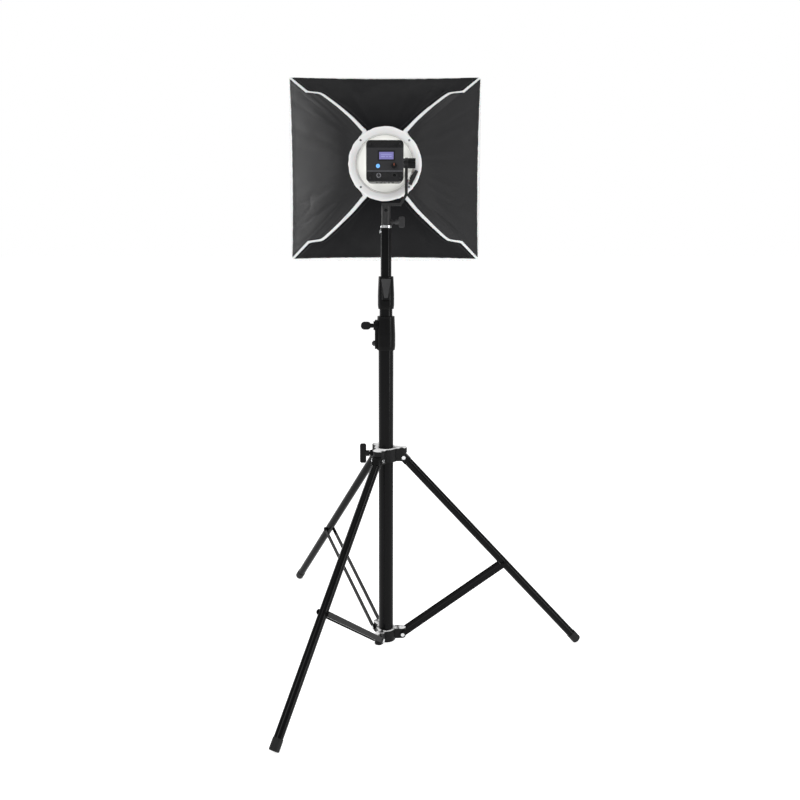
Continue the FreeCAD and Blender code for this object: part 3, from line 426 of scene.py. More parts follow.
MATERIALS = {
    "black_tube": painted("black_tube", (0.003, 0.003, 0.0032), 0.2, 1600, 0.000002, 0.0, 0.03,
                          spread=0.015, specular=0.07),
    "black_casting": painted("black_casting", (0.004, 0.004, 0.0042), 0.28, 1500, 0.00001, 0.04,
                             0.02, specular=0.06),
    "black_knob": painted("black_knob", (0.006, 0.006, 0.0063), 0.4, 1500, 0.00002, 0.06,
                          specular=0.1),
    # A lighter copy of the knob black with more specular, for the receiver knob, the middle clamp knob
    # and the release latch.
    "lighter_knob": painted("lighter_knob", (0.022, 0.022, 0.023), 0.4, 1500, 0.00002, 0.06,
                          specular=0.25),
    "rubber": painted("foot_rubber", (0.008, 0.008, 0.008), 0.6, 900, 0.00003, 0.0, specular=0.2),
    # The collar plate and the hub below get painted reflections on their upward faces.
    "bright_plate": painted_reflection_finish("mottled_plate", 0.40),
    "bright_steel": bright_metal("zinc_steel", (0.72, 0.73, 0.74), 0.22, 30.0),
    "dark_bolt": painted("dark_bolt", (0.03, 0.03, 0.032), 0.3, 600, 0.00002, 0.1, metallic=0.8),
    "nylon": painted("nylon_bush", (0.10, 0.10, 0.10), 0.5, wear=0.0),
    "yoke_paint": painted("yoke_paint", (0.010, 0.010, 0.0105), 0.4, 1500, 0.00002, 0.06,
                          specular=0.2),
    "lamp_cover": painted("lamp_moulding", (0.008, 0.008, 0.0085), 0.38, 1400, 0.00003, 0.08,
                          specular=0.2),
    "cover_bands": cover_finish(),
    "power_key": power_finish(),
    "lamp_shell": painted("lamp_shell", (0.009, 0.009, 0.0095), 0.36, 1500, 0.00002, 0.08,
                          specular=0.2),
    "bare_aluminium": bright_metal("satin_aluminium", (0.74, 0.74, 0.75), 0.32, 20.0),
    "emitter": glowing("emitter", (0.9, 0.8, 0.35), 0.2),
    "screen": screen_finish(),
    "blue_key": glowing("blue_key", (0.12, 0.34, 0.72), 0.38),
    "cream_ring": plate_finish(),
    "hub": painted_reflection_finish("hub_casting", 0.46),
    "white_fabric": cloth_finish("white_cloth", (0.70, 0.70, 0.70), 1100, 0.00008, 0.05, 0.75, 0.1, 0.2),
    # Two copies of one black cloth. The darker one is painted shade for the top and bottom flaps. The
    # lighter one, with more specular, is painted light for the side flaps and their laps.
    "black_fabric": cloth_finish("black_cloth", (0.0045, 0.0046, 0.0053), 1500, 0.00008, 0.0, 0.5,
                                 specular=0.05),
    "painted_light_fabric": cloth_finish("black_cloth_painted_light", (0.0155, 0.0155, 0.0163), 1500, 0.00008, 0.0,
                                0.48, specular=0.14),
    "white_thread": cloth_finish("white_thread", (0.6, 0.6, 0.59), 3000, 0.00005, 0.2, 0.7),
    "black_thread": cloth_finish("black_thread", (0.02, 0.02, 0.022), 3000, 0.00005, 0.05, 0.6),
    "rib_rod": painted("rib_rod", (0.05, 0.05, 0.05), 0.35, wear=0.0),
    "rivet": painted("rivet", (0.16, 0.16, 0.165), 0.28, 600, 0.00001, 0.1, metallic=0.7),
    "orange_mark": painted("orange_mark", (0.22, 0.05, 0.02), 0.4, wear=0.0),
}

NODE_FINISHES = {
    "black_tube": ("lower_tube", "middle_tube", "upper_tube", "leg_tube_right", "leg_tube_back",
                   "leg_tube_front", "brace_bars_right", "brace_bars_back", "brace_bars_front"),
    "black_casting": ("lower_clamp", "middle_clamp", "leg_collar", "leg_top_right",
                      "leg_top_back", "leg_top_front"),
    "rubber": ("leg_foot_right", "leg_foot_back", "leg_foot_front"),
    "hub": ("lower_hub",),
    "black_knob": ("leg_collar_knob", "lower_clamp_knob", "tilt_knob", "brightness_dial"),
    "lighter_knob": ("middle_clamp_knob", "receiver_knob", "release_latch"),
    "bright_plate": ("leg_collar_plate",),
    "bright_steel": ("leg_collar_pins", "lower_hub_pins", "spigot", "spigot_screw"),
    "dark_bolt": ("lower_clamp_bolt", "tilt_boss", "lamp_screws"),
    "nylon": ("middle_tube_bush", "upper_tube_bush"),
    "yoke_paint": ("stand_receiver", "yoke_arm"),
    "cover_bands": ("lamp_rear_cover",),
    "lamp_cover": ("fan_frame", "fan_rotor", "power_inlet"),
    "power_key": ("power_button",),
    "lamp_shell": ("lamp_housing",),
    "bare_aluminium": ("heat_sink", "mount_flange"),
    "emitter": ("led_module",),
    "screen": ("display_window",),
    "blue_key": ("mode_button",),
    "cream_ring": ("speed_ring",),
    "rib_rod": ("rib_upper_right", "rib_upper_left", "rib_lower_left", "rib_lower_right"),
}
for finish_name, node_names in NODE_FINISHES.items():
    for node_name in node_names:
        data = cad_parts[node_name].data
        data.materials.clear()
        data.materials.append(MATERIALS[finish_name].material)


# ------------------------------------------------------------------ cloth meshes
def smooth_noise(u, v, seed):
    """Soft random values in -1..1 over two numpy arrays."""
    table = np.random.default_rng(seed).uniform(-1, 1, (64, 64))
    u0, v0 = np.floor(u).astype(int), np.floor(v).astype(int)
    fu, fv = u - u0, v - v0
    fu, fv = fu * fu * (3 - 2 * fu), fv * fv * (3 - 2 * fv)
    low = table[u0 % 64, v0 % 64] * (1 - fu) + table[(u0 + 1) % 64, v0 % 64] * fu
    high = table[u0 % 64, (v0 + 1) % 64] * (1 - fu) + table[(u0 + 1) % 64, (v0 + 1) % 64] * fu
    return low * (1 - fv) + high * fv


def unit(vectors):
    length = np.linalg.norm(vectors, axis=-1, keepdims=True)
    return vectors / np.maximum(length, 1e-12)


def surface_normals(points):
    """Outward normals of a grid of points, steady where the grid narrows to a pole."""
    normals = unit(np.cross(np.gradient(points, axis=1), np.gradient(points, axis=0)))
    if np.sum(normals * (points - INSIDE)) < 0:
        normals = -normals
    return normals


def grid_area(points):
    """Area of a grid of quads, in square metres."""
    a = points[1:, :-1] - points[:-1, :-1]
    b = points[:-1, 1:] - points[:-1, :-1]
    c = points[1:, :-1] - points[1:, 1:]
    d = points[:-1, 1:] - points[1:, 1:]
    cells = np.linalg.norm(np.cross(a, b), axis=-1) + np.linalg.norm(np.cross(c, d), axis=-1)
    return float(cells.sum() / 2)


def build_mesh(name, vertices, faces, material, normals=None, uv=None):
    mesh = bpy.data.meshes.new(name)
    mesh.from_pydata([tuple(v) for v in vertices], [], faces)
    mesh.update()
    if uv is not None:
        layer = mesh.uv_layers.new(name="cloth")
        index = np.empty(len(mesh.loops), dtype=np.int32)
        mesh.loops.foreach_get("vertex_index", index)
        layer.data.foreach_set("uv", np.asarray(uv)[index].ravel())
    mesh.shade_smooth()
    if normals is not None:
        mesh.normals_split_custom_set_from_vertices([tuple(n) for n in normals])
    mesh.materials.append(MATERIALS[material].material)
    obj = bpy.data.objects.new(name, mesh)
    bpy.context.scene.collection.objects.link(obj)
    return obj


def cloth_solid(name, points, normals, thickness, material, pole=False):
    """A closed thin sheet under a grid of points; a pole closes its last row."""
    rows, columns = points.shape[:2]
    across = np.linalg.norm(np.diff(points, axis=1), axis=-1)
    along = np.linalg.norm(np.diff(points, axis=0), axis=-1)
    u = np.concatenate([np.zeros((rows, 1)), np.cumsum(across, axis=1)], axis=1)
    v = np.concatenate([np.zeros((1, columns)), np.cumsum(along, axis=0)], axis=0)
    uv = np.stack([u, v], axis=-1).reshape(-1, 2)
    count = rows * columns
    vertices = np.concatenate([points.reshape(-1, 3),
                               (points - normals * thickness).reshape(-1, 3)])
    shading = np.concatenate([normals.reshape(-1, 3), -normals.reshape(-1, 3)])
    uv = np.concatenate([uv, uv])

    def index(i, j, layer):
        if pole and i == rows - 1:
            j = 0
        return layer * count + i * columns + j

    along_u = points[1, 1] - points[1, 0]
    along_v = points[1, 0] - points[0, 0]
    outward = np.dot(np.cross(along_u, along_v), normals[0, 0]) > 0
    faces = []
    for i in range(rows - 1):
        for j in range(columns - 1):
            for layer in (0, 1):
                face = [index(i, j, layer), index(i, j + 1, layer),
                        index(i + 1, j + 1, layer), index(i + 1, j, layer)]
                faces.append(face if outward == (layer == 0) else face[::-1])
    border = [(i, 0) for i in range(rows - 1)]
    border += [(rows - 1, j) for j in range(columns - 1)]
    border += [(i, columns - 1) for i in range(rows - 1, 0, -1)]
    border += [(0, j) for j in range(columns - 1, 0, -1)]
    for here, there in zip(border, border[1:] + border[:1]):
        face = [index(*here, 0), index(*there, 0), index(*there, 1), index(*here, 1)]
        faces.append(face[::-1] if outward else face)
    faces = [[k for n, k in enumerate(face) if k != face[n - 1]] for face in faces]
    faces = [face for face in faces if len(face) > 2]
    used = sorted({k for face in faces for k in face})
    place = {k: n for n, k in enumerate(used)}
    faces = [[place[k] for k in face] for face in faces]
    return build_mesh(name, vertices[used], faces, material, shading[used], uv[used])


def rim_halves(side):
    """Half the rim along a side, and the rim's distance from the centre on that side."""
    return (RIM_W, RIM_H) if side % 2 == 0 else (RIM_H, RIM_W)


def half_width(side, outward):
    """Half the flat width of a side's cloth at each step outward."""
    return RING_R * math.sin(math.pi / 4) * (1 - outward) + rim_halves(side)[0] * outward


def side_point(side, across, outward):
    """Points of one side of the skirt, with across in -1..1 and outward in 0..1."""
    half_w, half_h = rim_halves(side)
    angle = math.pi / 4 * across
    middle = 1 - across * across
    x = RING_R * np.sin(angle) * (1 - outward) + half_w * across * outward
    z = RING_R * np.cos(angle) * (1 - outward) + (half_h - SCOOP * middle) * outward
    y = BACK_Y + (RIM_Y - BACK_Y) * outward ** SKIRT_CURVE
    y = y + SAG * middle * np.sin(math.pi * outward)
    turn = -math.pi / 2 * side
    return np.stack([CENTRE_X + x * math.cos(turn) - z * math.sin(turn), y,
                     CENTRE_Z + x * math.sin(turn) + z * math.cos(turn)], axis=-1)


def side_normals(side, across, outward):
    """Normals by small steps, so neighbouring pieces shade as one sheet."""
    step = 0.002
    du = side_point(side, across + step, outward) - side_point(side, across - step, outward)
    near, far = np.maximum(outward - step, 0.0), outward + step
    dv = side_point(side, across, far) - side_point(side, across, near)
    normals = unit(np.cross(du, dv))
    if np.sum(normals * (side_point(side, across, outward) - INSIDE)) < 0:
        normals = -normals
    return normals


def ridge_normals(side, half, outward):
    """The direction midway between two neighbouring sides, along their shared rib line."""
    other = (side + half) % 4
    edge = np.ones_like(outward)
    return unit(side_normals(side, edge * half, outward) +
                side_normals(other, -edge * half, outward))


def creases(side, across, outward):
    """Tension folds that run from the ring to the corners, and puckers at the rim."""
    spread = np.abs(across)
    fan = smooth_noise(across * 9 + 11, outward * 2.2, 40 + side)
    sharp = (1 - np.abs(smooth_noise(across * 6 + 3, outward * 1.6 + spread, 60 + side))) ** 6
    inner = np.sin(math.pi * np.clip(outward, 0, 1)) ** 0.7
    pucker = smooth_noise(across * 26, outward * 3, 80 + side) * np.clip(outward - 0.86, 0, 1) / 0.14
    gather = smooth_noise(across * 20, outward * 2, 90 + side) * np.clip(0.16 - outward, 0, 1) / 0.16
    height = inner * (0.0011 * fan - 0.0018 * sharp * spread) + 0.0006 * pucker + 0.0006 * gather
    return height * (1 - spread ** 10)


def gap_line(side, shift):
    """Across and outward along the white line's edge, shifted sideways in metres."""
    slant = math.hypot(rim_halves(side)[1] - RING_R, RIM_Y - BACK_Y)
    fine = np.linspace(0, 1, 241)
    knots = np.array(GAP_PATH)
    centre = np.interp(fine, knots[:, 0], knots[:, 1])
    kernel = np.ones(7) / 7
    padded = np.pad(centre, 3, mode="edge")
    centre = np.convolve(padded, kernel, mode="valid")
    width = half_width(side, fine)
    flat = np.stack([centre * width, fine * slant], axis=-1)
    along = unit(np.gradient(flat, axis=0))
    moved = flat + np.stack([along[:, 1], -along[:, 0]], axis=-1) * shift
    outward = np.maximum.accumulate(moved[:, 1] / slant)
    return outward, moved[:, 0], width, fine


def flap_edge(side, outward, shift):
    """How far across a flap reaches at each step outward."""
    steps, reach, width, fine = gap_line(side, shift)
    edge = np.interp(outward, steps, reach)
    return edge / np.interp(outward, fine, width)


def outward_steps(count=34):
    """Even steps with extra ones round the jog in the flap's edge."""
    even = np.linspace(0, 1, count)
    jog = np.linspace(JOG_START - 0.05, JOG_END + 0.03, 25)
    return np.unique(np.concatenate([even, jog]).round(5))


def blend_to_rib(obj):
    """Bakes the piece's placement into its mesh."""
    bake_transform(obj)


def declare(area, width, length):
    """Takes the longer of the given length and area over width as the flat length; nothing keeps the
    result.
    """
    length = max(length, area / width)


# ------------------------------------------------------------------ repeated trims
def node_input(tree, name, kind, value):
    socket = tree.interface.new_socket(name, in_out="INPUT", socket_type=kind)
    if value is not None:
        socket.default_value = value
    return socket


def deliver(tree, instances, given, result):
    """Makes the instances real, smooth and painted, and sends them out of the tree."""
    new, link = tree.nodes.new, tree.links.new
    real = new("GeometryNodeRealizeInstances")
    smooth = new("GeometryNodeSetShadeSmooth")
    paint = new("GeometryNodeSetMaterial")
    link(instances, real.inputs["Geometry"])
    link(real.outputs["Geometry"], smooth.inputs["Geometry"])
    link(smooth.outputs["Geometry"], paint.inputs["Geometry"])
    link(given.outputs["Material"], paint.inputs["Material"])
    link(paint.outputs["Geometry"], result.inputs[0])


def stitch_tree():
    """Short rounded stitches laid end to end along a curve."""
    tree = bpy.data.node_groups.new("Stitches", "GeometryNodeTree")
    node_input(tree, "Line", "NodeSocketGeometry", None)
    node_input(tree, "Pitch", FLOAT, 0.004)
    node_input(tree, "Radius", FLOAT, 0.0004)
    node_input(tree, "Material", "NodeSocketMaterial", None)
    tree.interface.new_socket("Stitches", in_out="OUTPUT", socket_type="NodeSocketGeometry")
    new, link = tree.nodes.new, tree.links.new
    given, result = new("NodeGroupInput"), new("NodeGroupOutput")
    to_curve = new("GeometryNodeMeshToCurve")
    points = new("GeometryNodeCurveToPoints")
    points.mode = "LENGTH"
    link(given.outputs["Line"], to_curve.inputs["Mesh"])
    link(to_curve.outputs["Curve"], points.inputs["Curve"])
    link(given.outputs["Pitch"], points.inputs["Length"])
    stitch = new("GeometryNodeMeshUVSphere")
    stitch.inputs["Segments"].default_value = 6
    stitch.inputs["Rings"].default_value = 4
    link(given.outputs["Radius"], stitch.inputs["Radius"])
    stretch = new("GeometryNodeTransform")
    size = new("ShaderNodeCombineXYZ")
    size.inputs["X"].default_value = 1.0
    size.inputs["Y"].default_value = 1.0
    length = math_node(tree, "DIVIDE", math_node(tree, "MULTIPLY", given.outputs["Pitch"], 0.36),
                       given.outputs["Radius"])
    link(length, size.inputs["Z"])
    link(size.outputs[0], stretch.inputs["Scale"])
    link(stitch.outputs["Mesh"], stretch.inputs["Geometry"])
    place = new("GeometryNodeInstanceOnPoints")
    link(points.outputs["Points"], place.inputs["Points"])
    link(points.outputs["Rotation"], place.inputs["Rotation"])
    link(stretch.outputs["Geometry"], place.inputs["Instance"])
    deliver(tree, place.outputs["Instances"], given, result)
    return tree


def rivet_tree():
    """A sphere squashed along Y into a low dome on every point."""
    tree = bpy.data.node_groups.new("Rivets", "GeometryNodeTree")
    node_input(tree, "Places", "NodeSocketGeometry", None)
    node_input(tree, "Radius", FLOAT, 0.003)
    node_input(tree, "Height", FLOAT, 0.0012)
    node_input(tree, "Material", "NodeSocketMaterial", None)
    tree.interface.new_socket("Rivets", in_out="OUTPUT", socket_type="NodeSocketGeometry")
    new, link = tree.nodes.new, tree.links.new
    given, result = new("NodeGroupInput"), new("NodeGroupOutput")
    dome = new("GeometryNodeMeshUVSphere")
    dome.inputs["Segments"].default_value = 24
    dome.inputs["Rings"].default_value = 12
    dome.inputs["Radius"].default_value = 1.0
    size = new("ShaderNodeCombineXYZ")
    link(given.outputs["Radius"], size.inputs["X"])
    link(given.outputs["Height"], size.inputs["Y"])
    link(given.outputs["Radius"], size.inputs["Z"])
    shape = new("GeometryNodeTransform")
    link(dome.outputs["Mesh"], shape.inputs["Geometry"])
    link(size.outputs[0], shape.inputs["Scale"])
    points = new("GeometryNodeMeshToPoints")
    link(given.outputs["Places"], points.inputs["Mesh"])
    place = new("GeometryNodeInstanceOnPoints")
    link(points.outputs["Points"], place.inputs["Points"])
    link(shape.outputs["Geometry"], place.inputs["Instance"])
    deliver(tree, place.outputs["Instances"], given, result)
    return tree


STITCHES, RIVETS = stitch_tree(), rivet_tree()


def grown(name, tree, vertices, edges, **values):
    """The mesh that a Geometry Nodes tree makes from some points or lines."""
    seed = bpy.data.meshes.new(name + "_seed")
    seed.from_pydata([tuple(v) for v in vertices], edges, [])
    obj = bpy.data.objects.new(name, seed)
    bpy.context.scene.collection.objects.link(obj)
    modifier = obj.modifiers.new("grow", "NODES")
    modifier.node_group = tree
    for item in tree.interface.items_tree:
        if item.in_out == "INPUT" and item.name in values:
            modifier[item.identifier] = values[item.name]
    bpy.context.view_layer.update()
    evaluated = obj.evaluated_get(bpy.context.evaluated_depsgraph_get())
    mesh = bpy.data.meshes.new_from_object(evaluated)
    obj.modifiers.clear()
    obj.data = mesh
    mesh.name = name
    bpy.data.meshes.remove(seed)
    return obj


def stitched(name, lines, thread, pitch=0.0042):
    """One piece with stitches along each line of points."""
    vertices, edges = [], []
    for line in lines:
        first = len(vertices)
        vertices.extend(line)
        edges.extend((first + k, first + k + 1) for k in range(len(line) - 1))
    return grown(name, STITCHES, vertices, edges, Pitch=pitch, Radius=0.00035,
                 Material=MATERIALS[thread].material)


# ------------------------------------------------------------------ the skirt
def flap_points(side, across, outward, lift):
    normals = side_normals(side, across, outward)
    half = 1 if across.sum() > 0 else -1
    share = np.clip((np.abs(across) - 0.9) / 0.1, 0, 1)[..., None]
    share = share * share * (3 - 2 * share)
    normals = unit(normals * (1 - share) + ridge_normals(side, half, outward) * share)
    height = creases(side, across, outward) + lift
    return side_point(side, across, outward) + normals * height[..., None], normals


def shaded_normals(points, normals):
    """The grid's own normals, passing into the smooth sheet's at its first and last columns."""
    found = surface_normals(points)
    place = np.linspace(-1, 1, points.shape[1]) ** 8
    return unit(found * (1 - place)[None, :, None] + normals * place[None, :, None])


def make_lining(side, half):
    """The white cloth below the flaps, from the ring to the rim."""
    outward, share = np.meshgrid(np.linspace(0, 1, 40), np.linspace(0, 1, 34), indexing="ij")
    across = share * half
    points, normals = flap_points(side, across, outward, np.zeros_like(outward))
    name = "lining_%s_%s" % (SIDES[side], CORNERS[side, half])
    obj = cloth_solid(name, points, shaded_normals(points, normals), CLOTH, "white_fabric")
    declare(grid_area(points), rim_halves(side)[0] * 1.02, slant_length(points))
    blend_to_rib(obj)


def slant_length(points):
    return float(np.linalg.norm(np.diff(points[:, 0], axis=0), axis=-1).sum())


def hem_lift(distance):
    """Extra thickness within a folded hem, from the distance to the edge in metres."""
    folded = 1 - np.clip((distance - HEM + 0.001) / 0.001, 0, 1)
    cut = np.clip(1 - distance / CUT_REACH, 0, 1)
    return HEM_THICKNESS * folded - CUT_DROP * cut


def make_flap(side, half, from_share, to_edge, label, rows, columns, material):
    """A black flap between two across values given by functions of outward."""
    steps = rows
    low, high = from_share(steps), to_edge(steps)
    share = np.sin(np.linspace(0, math.pi / 2, columns)) if label == "flap" else \
        np.linspace(0, 1, columns)
    spread = low[:, None] + (high - low)[:, None] * share[None, :]
    outward = np.repeat(steps[:, None], columns, axis=1)
    to_side = np.abs(high[:, None] - spread) * half_width(side, outward)
    slant = math.hypot(RIM_H - RING_R, RIM_Y - BACK_Y)
    to_rim = (1 - outward) * slant
    edge = np.minimum(to_side, to_rim) if FREE_EDGE[label, side % 2] else to_rim
    lift = FLAP_LIFT + hem_lift(edge)
    points, normals = flap_points(side, spread * half, outward, lift)
    name = "%s_%s_%s" % (label, SIDES[side], CORNERS[side, half])
    obj = cloth_solid(name, points, shaded_normals(points, normals), CLOTH, material)
    return obj, points, normals, to_side


FREE_EDGE = {("flap", 0): True, ("flap", 1): False, ("lap", 0): True}


def side_flap_edge(steps):
    """The side flaps reach the rib up to the jog, then stop half a gap short of it."""
    width = half_width(RIGHT, steps)
    retreat = np.clip((steps - JOG_START - 0.012) / (JOG_END - JOG_START - 0.012), 0, 1)
    return 1 - HALF_GAP / width * retreat


def seam_line(points, normals, to_side, inset):
    """Points on the cloth that keep one distance from the flap's free edge."""
    line = []
    for row, normal, distance in zip(points, normals, to_side):
        order = np.argsort(distance)
        if distance.max() < inset:
            continue
        lifted = (row + normal * THREAD_LIFT)[order]
        line.append([np.interp(inset, distance[order], lifted[:, axis]) for axis in range(3)])
    return line


def make_side(side):
    """Lining, black flaps, laps over the ribs and their stitching: returns the flaps."""
    flaps = []
    even_side = side % 2 == 0
    # Painted light and shade: the side flaps take the lighter copy of the black cloth, the top and
    # bottom flaps the darker one.
    fabric = "black_fabric" if even_side else "painted_light_fabric"
    for half in (-1, 1):
        make_lining(side, half)
        corner = CORNERS[side, half]
        steps = outward_steps()
        edge = (lambda t: np.minimum(flap_edge(side, t, -HALF_GAP), 1)) if even_side \
            else side_flap_edge
        flap, points, normals, to_side = make_flap(side, half, np.zeros_like, edge, "flap", steps,
                                                   40, fabric)
        lines = [seam_line(points, normals, to_side, SEAM_INSET)] if even_side else []
        rim_row = int(np.argmin(np.abs(steps - 0.972)))
        lines.append(list(points[rim_row] + normals[rim_row] * THREAD_LIFT))
        seam = stitched("stitches_%s_%s" % (SIDES[side], corner), lines, "black_thread")
        declare(grid_area(points), rim_halves(side)[0] * 1.02, slant_length(points))
        blend_to_rib(flap)
        blend_to_rib(seam)
        flaps.append(flap)
        if even_side:
            make_lap(side, half)
    return flaps


def lap_edge(side, steps):
    """The lap's free edge: beside the white line, curving off to the rib at the ring."""
    edge = np.minimum(flap_edge(side, steps, HALF_GAP), 0.9999)
    flare = np.clip(1 - steps / FLARE, 0, 1) ** 2
    return edge + (0.9999 - edge) * flare


def make_lap(side, half):
    """Where a side flap laps past the rib into the top or bottom sector."""
    steps = np.unique(np.concatenate([outward_steps(), np.linspace(0, FLARE, 9)]).round(5))
    steps = steps[lap_edge(side, steps) < 0.997]
    # The laps are side cloth, so they take the painted-light copy of the black cloth.
    lap, points, normals, to_side = make_flap(
        side, half, np.ones_like, lambda t: lap_edge(side, t), "lap", steps, 14, "painted_light_fabric")
    line = seam_line(points, normals, to_side, SEAM_INSET)
    seam = stitched("lap_stitches_%s_%s" % (SIDES[side], CORNERS[side, half]), [line],
                    "black_thread")
    widest = float(np.linalg.norm(points[:, 0] - points[:, -1], axis=-1).max())
    declare(grid_area(points), widest, slant_length(points))
    blend_to_rib(lap)
    blend_to_rib(seam)


for side_number in range(4):
    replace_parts(make_side(side_number)[0], "skirt_panel_" + SIDES[side_number])


# ------------------------------------------------------------------ the white front
def front_profile(s):
    """Scale of the outline, depth and squareness at s, from the rim (0) to the pole (1)."""
    on_wall = s < WALL_SHARE
    wall = np.clip(s / WALL_SHARE, 0, 1)
    turn = np.clip((s - WALL_SHARE) / (1 - WALL_SHARE), 0, 1) * math.pi / 2
    dome = FRONT_Y - RIM_Y - BAND - 0.001
    scale = np.where(on_wall, 1 + SWELL / RIM_W * np.sin(wall * math.pi / 2),
                     (1 + SWELL / RIM_W) * np.cos(turn) ** 0.8)
    depth = np.where(on_wall, BAND * wall, BAND + dome * np.sin(turn))
    softness = np.where(on_wall, 0.03 * wall, 0.03 + 0.42 * np.sin(turn) ** 1.5)
    return scale, depth, softness


def front_point(side, half, share, s):
    """share runs from the middle of a side (0) to its corner (1)."""
    scale, depth, softness = front_profile(s)
    soft = np.maximum(softness, 1e-3)
    rise = (1 + np.power(share, 1 / soft)) ** (-soft)
    scoop = 1 - SCOOP / RIM_H * (1 - share ** 2) * np.clip(1 - s / WALL_SHARE, 0, 1)
    u, v = share * rise * half, rise * scoop
    puff = 0.0012 * smooth_noise(share * 7 * half + 20, s * 9, 7 + side)
    puff = puff * np.sin(math.pi * np.clip(s, 0, 1)) ** 0.5
    scale = scale * (1 + puff * 1.5)
    turn = -math.pi / 2 * side
    across, rising = u * scale, v * scale
    x = across * math.cos(turn) - rising * math.sin(turn)
    z = across * math.sin(turn) + rising * math.cos(turn)
    return np.stack([CENTRE_X + RIM_W * x, RIM_Y + depth, CENTRE_Z + RIM_H * z], axis=-1)


def make_front(side, half):
    """One eighth of the white front, from the rim to its middle, with its stitching."""
    corner = CORNERS[side, half]
    s = np.unique(np.concatenate([np.linspace(0, WALL_SHARE, 9), np.linspace(WALL_SHARE, 1, 40)]))
    grid_s, share = np.meshgrid(s, np.sin(np.linspace(0, math.pi / 2, 40)), indexing="ij")
    points = front_point(side, half, share, np.minimum(grid_s, 0.99999))
    points[-1] = points[-1, 0]
    step = 0.004
    du = front_point(side, half, np.minimum(share + step, 1), grid_s * 0.9999) - \
        front_point(side, half, np.maximum(share - step, 0), grid_s * 0.9999)
    dv = front_point(side, half, share, np.minimum(grid_s + step, 0.9998)) - \
        front_point(side, half, share, np.maximum(grid_s - step, 0.0))
    normals = unit(np.cross(du, dv))
    normals[-3:] = (0, 1, 0)
    if np.sum(normals * (points - INSIDE)) < 0:
        normals[:-3] = -normals[:-3]
    # On a mid-line and on a rib line both neighbours share one direction.
    for column, direction in ((0, middle_direction(side)), (-1, corner_direction(corner))):
        flat = normals[:, column] * (0, 1, 0)
        radial = np.linalg.norm(normals[:, column] - flat, axis=-1, keepdims=True)
        normals[:, column] = unit(flat + radial * direction)
    name = "front_%s_%s" % (SIDES[side], corner)
    obj = cloth_solid(name, points, normals, CLOTH, "white_fabric", pole=True)
    seam_rows = [int(np.argmin(np.abs(s - value))) for value in (0.03, WALL_SHARE)]
    lines = [list(points[row] + normals[row] * 0.0003) for row in seam_rows]
    seam = stitched("front_stitches_%s_%s" % (SIDES[side], corner), lines, "white_thread")
    declare(grid_area(points), rim_halves(side)[0] * 1.06, slant_length(points))
    blend_to_rib(obj)
    blend_to_rib(seam)
    return obj


def middle_direction(side):
    turn = -math.pi / 2 * side
    return np.array((-math.sin(turn), 0, math.cos(turn)))


def corner_direction(corner):
    x = RIM_H if corner.endswith("right") else -RIM_H
    z = RIM_W if corner.startswith("upper") else -RIM_W
    return np.array((x, 0, z)) / math.hypot(x, z)


fronts = [make_front(side_number, half) for side_number in range(4) for half in (-1, 1)]
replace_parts(fronts[0], "front_diffuser")


# ------------------------------------------------------------------ ring, rivets and small marks
def lathe(name, profile, material, around=96, ripple=None):
    """Closed ring round the softbox's axis from (radius, y) points."""
    vertices, faces = [], []
    count = len(profile)
    for k in range(around):
        angle = 2 * math.pi * k / around
        for n, (radius, y) in enumerate(profile):
            r = radius + (ripple(angle, n) if ripple else 0)
            vertices.append((CENTRE_X + r * math.cos(angle), y, CENTRE_Z + r * math.sin(angle)))
    for k in range(around):
        for n in range(count):
            a, b = k * count + n, k * count + (n + 1) % count
            c, d = ((k + 1) % around) * count + (n + 1) % count, ((k + 1) % around) * count + n
            faces.append((a, d, c, b))
    return build_mesh(name, vertices, faces, material)


def make_sleeve():
    """The soft white collar that gathers the lining round the plate."""
    low, high = SLEEVE_LOW.y, SLEEVE_HIGH.y
    inner, outer = PLATE_R + 0.0004, RING_R + 0.0008
    bulge = [(math.sin(t), math.cos(t)) for t in np.linspace(0, math.pi / 2, 7)]
    profile = [(inner, high), (inner, low + 0.0015), (inner + 0.0015, low + 0.0004)]
    profile += [(outer - 0.007 + 0.007 * s, low + 0.006 - 0.006 * c) for s, c in bulge]
    profile += [(outer, high - 0.001), (outer - 0.001, high)]
    rng = np.random.default_rng(5)
    folds = rng.uniform(-1, 1, 60)

    def ripple(angle, n):
        if n < 3:
            return 0.0
        place = angle / (2 * math.pi) * len(folds)
        first = int(place) % len(folds)
        share = place - int(place)
        share = share * share * (3 - 2 * share)
        return 0.0007 * (folds[first] * (1 - share) + folds[(first + 1) % len(folds)] * share)

    obj = lathe("ring_collar", profile, "white_fabric", 360, ripple)
    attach(obj, "softbox")
    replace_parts(obj, "ring_sleeve")


make_sleeve()

rib_azimuth = math.atan2(RIM_H, RIM_W)
RIVET_R = 0.0775
places = [(CENTRE_X + RIVET_R * math.cos(a), SLEEVE_LOW.y + 0.0002, CENTRE_Z + RIVET_R * math.sin(a))
          for a in (rib_azimuth, math.pi - rib_azimuth, math.pi + rib_azimuth, -rib_azimuth)]
rivets = grown("ring_rivets", RIVETS, places, [], Radius=0.0026, Height=0.0013,
               Material=MATERIALS["rivet"].material)
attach(rivets, "softbox")


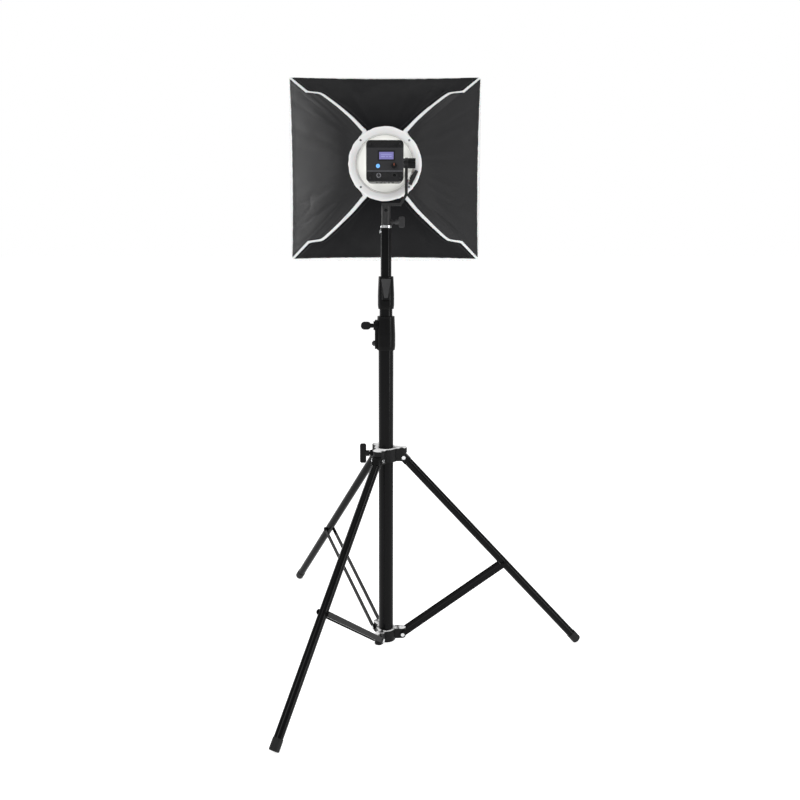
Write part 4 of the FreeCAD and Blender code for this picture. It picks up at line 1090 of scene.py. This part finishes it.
def rounded_bar(name, low, high, material, bevel=0.0006):
    """A small bar with rounded edges."""
    mesh = bpy.data.meshes.new(name)
    corners = [(x, y, z) for x in (low[0], high[0]) for y in (low[1], high[1])
               for z in (low[2], high[2])]
    faces = [(0, 1, 3, 2), (4, 6, 7, 5), (0, 4, 5, 1), (2, 3, 7, 6), (0, 2, 6, 4), (1, 5, 7, 3)]
    mesh.from_pydata(corners, [], faces)
    mesh.materials.append(MATERIALS[material].material)
    obj = bpy.data.objects.new(name, mesh)
    bpy.context.scene.collection.objects.link(obj)
    modifier = obj.modifiers.new("round", "BEVEL")
    modifier.width = bevel
    modifier.segments = 3
    mesh.shade_smooth()
    return obj


dial_x = (DIAL_LOW.x + DIAL_HIGH.x) / 2
mark = rounded_bar("dial_mark", (dial_x - 0.0008, DIAL_LOW.y - 0.0003, DIAL_LOW.z + 0.0066),
                   (dial_x + 0.0008, DIAL_LOW.y + 0.001, DIAL_HIGH.z - 0.0006), "orange_mark",
                   0.0002)
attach(mark, "dial")

# ------------------------------------------------------------------ floor, light and camera
bpy.ops.mesh.primitive_plane_add(size=60, location=(0, 0, -0.0005))
floor = bpy.context.object
floor.name = "floor"
floor_finish = Finish("floor_paper", (0.72, 0.72, 0.72), 0.9)
floor_finish.set("Specular IOR Level", 0.1)
floor_finish.set("Emission Color", (1, 1, 1, 1)).set("Emission Strength", 0.74)
floor.data.materials.append(floor_finish.material)

world = bpy.data.worlds.new("soft_room")
world.use_nodes = True
background = world.node_tree.nodes["Background"]
background.inputs["Color"].default_value = (1, 1, 1, 1)
light_path = world.node_tree.nodes.new("ShaderNodeLightPath")
brightness = world.node_tree.nodes.new("ShaderNodeMapRange")
brightness.inputs["To Min"].default_value = 0.42
brightness.inputs["To Max"].default_value = 1.0
world.node_tree.links.new(light_path.outputs["Is Camera Ray"], brightness.inputs["Value"])
world.node_tree.links.new(brightness.outputs[0], background.inputs["Strength"])
bpy.context.scene.world = world
bpy.context.scene.view_settings.view_transform = "Standard"


def area_light(name, place, aim, size, power):
    data = bpy.data.lights.new(name, "AREA")
    data.shape = "RECTANGLE"
    data.size, data.size_y = size
    data.energy = power
    obj = bpy.data.objects.new(name, data)
    obj.location = place
    obj.rotation_euler = (Vector(aim) - Vector(place)).to_track_quat("-Z", "Y").to_euler()
    bpy.context.scene.collection.objects.link(obj)


area_light("key", (-1.7, -2.6, 2.4), (0, 0, 0.9), (1.4, 2.0), 43)
area_light("fill", (2.6, -1.4, 1.2), (0, 0, 0.8), (0.45, 2.4), 34)
area_light("rim", (-2.2, 1.6, 1.6), (0, 0, 0.9), (0.6, 2.0), 22)
area_light("overhead", (0, 0, 4.0), (0, 0, 0), (5.0, 5.0), 60)

PITCH_DOWN = math.radians(7.85)
camera_data = bpy.data.cameras.new("camera")
camera_data.lens = 36.8
camera_data.sensor_width = 36.0
camera_data.shift_x = 0.0175
camera_data.shift_y = -0.07
camera = bpy.data.objects.new("camera", camera_data)
camera.location = (0, -1.888, 1.0087)
camera.rotation_euler = (math.pi / 2 - PITCH_DOWN, 0, 0)
bpy.context.scene.collection.objects.link(camera)
bpy.context.scene.camera = camera
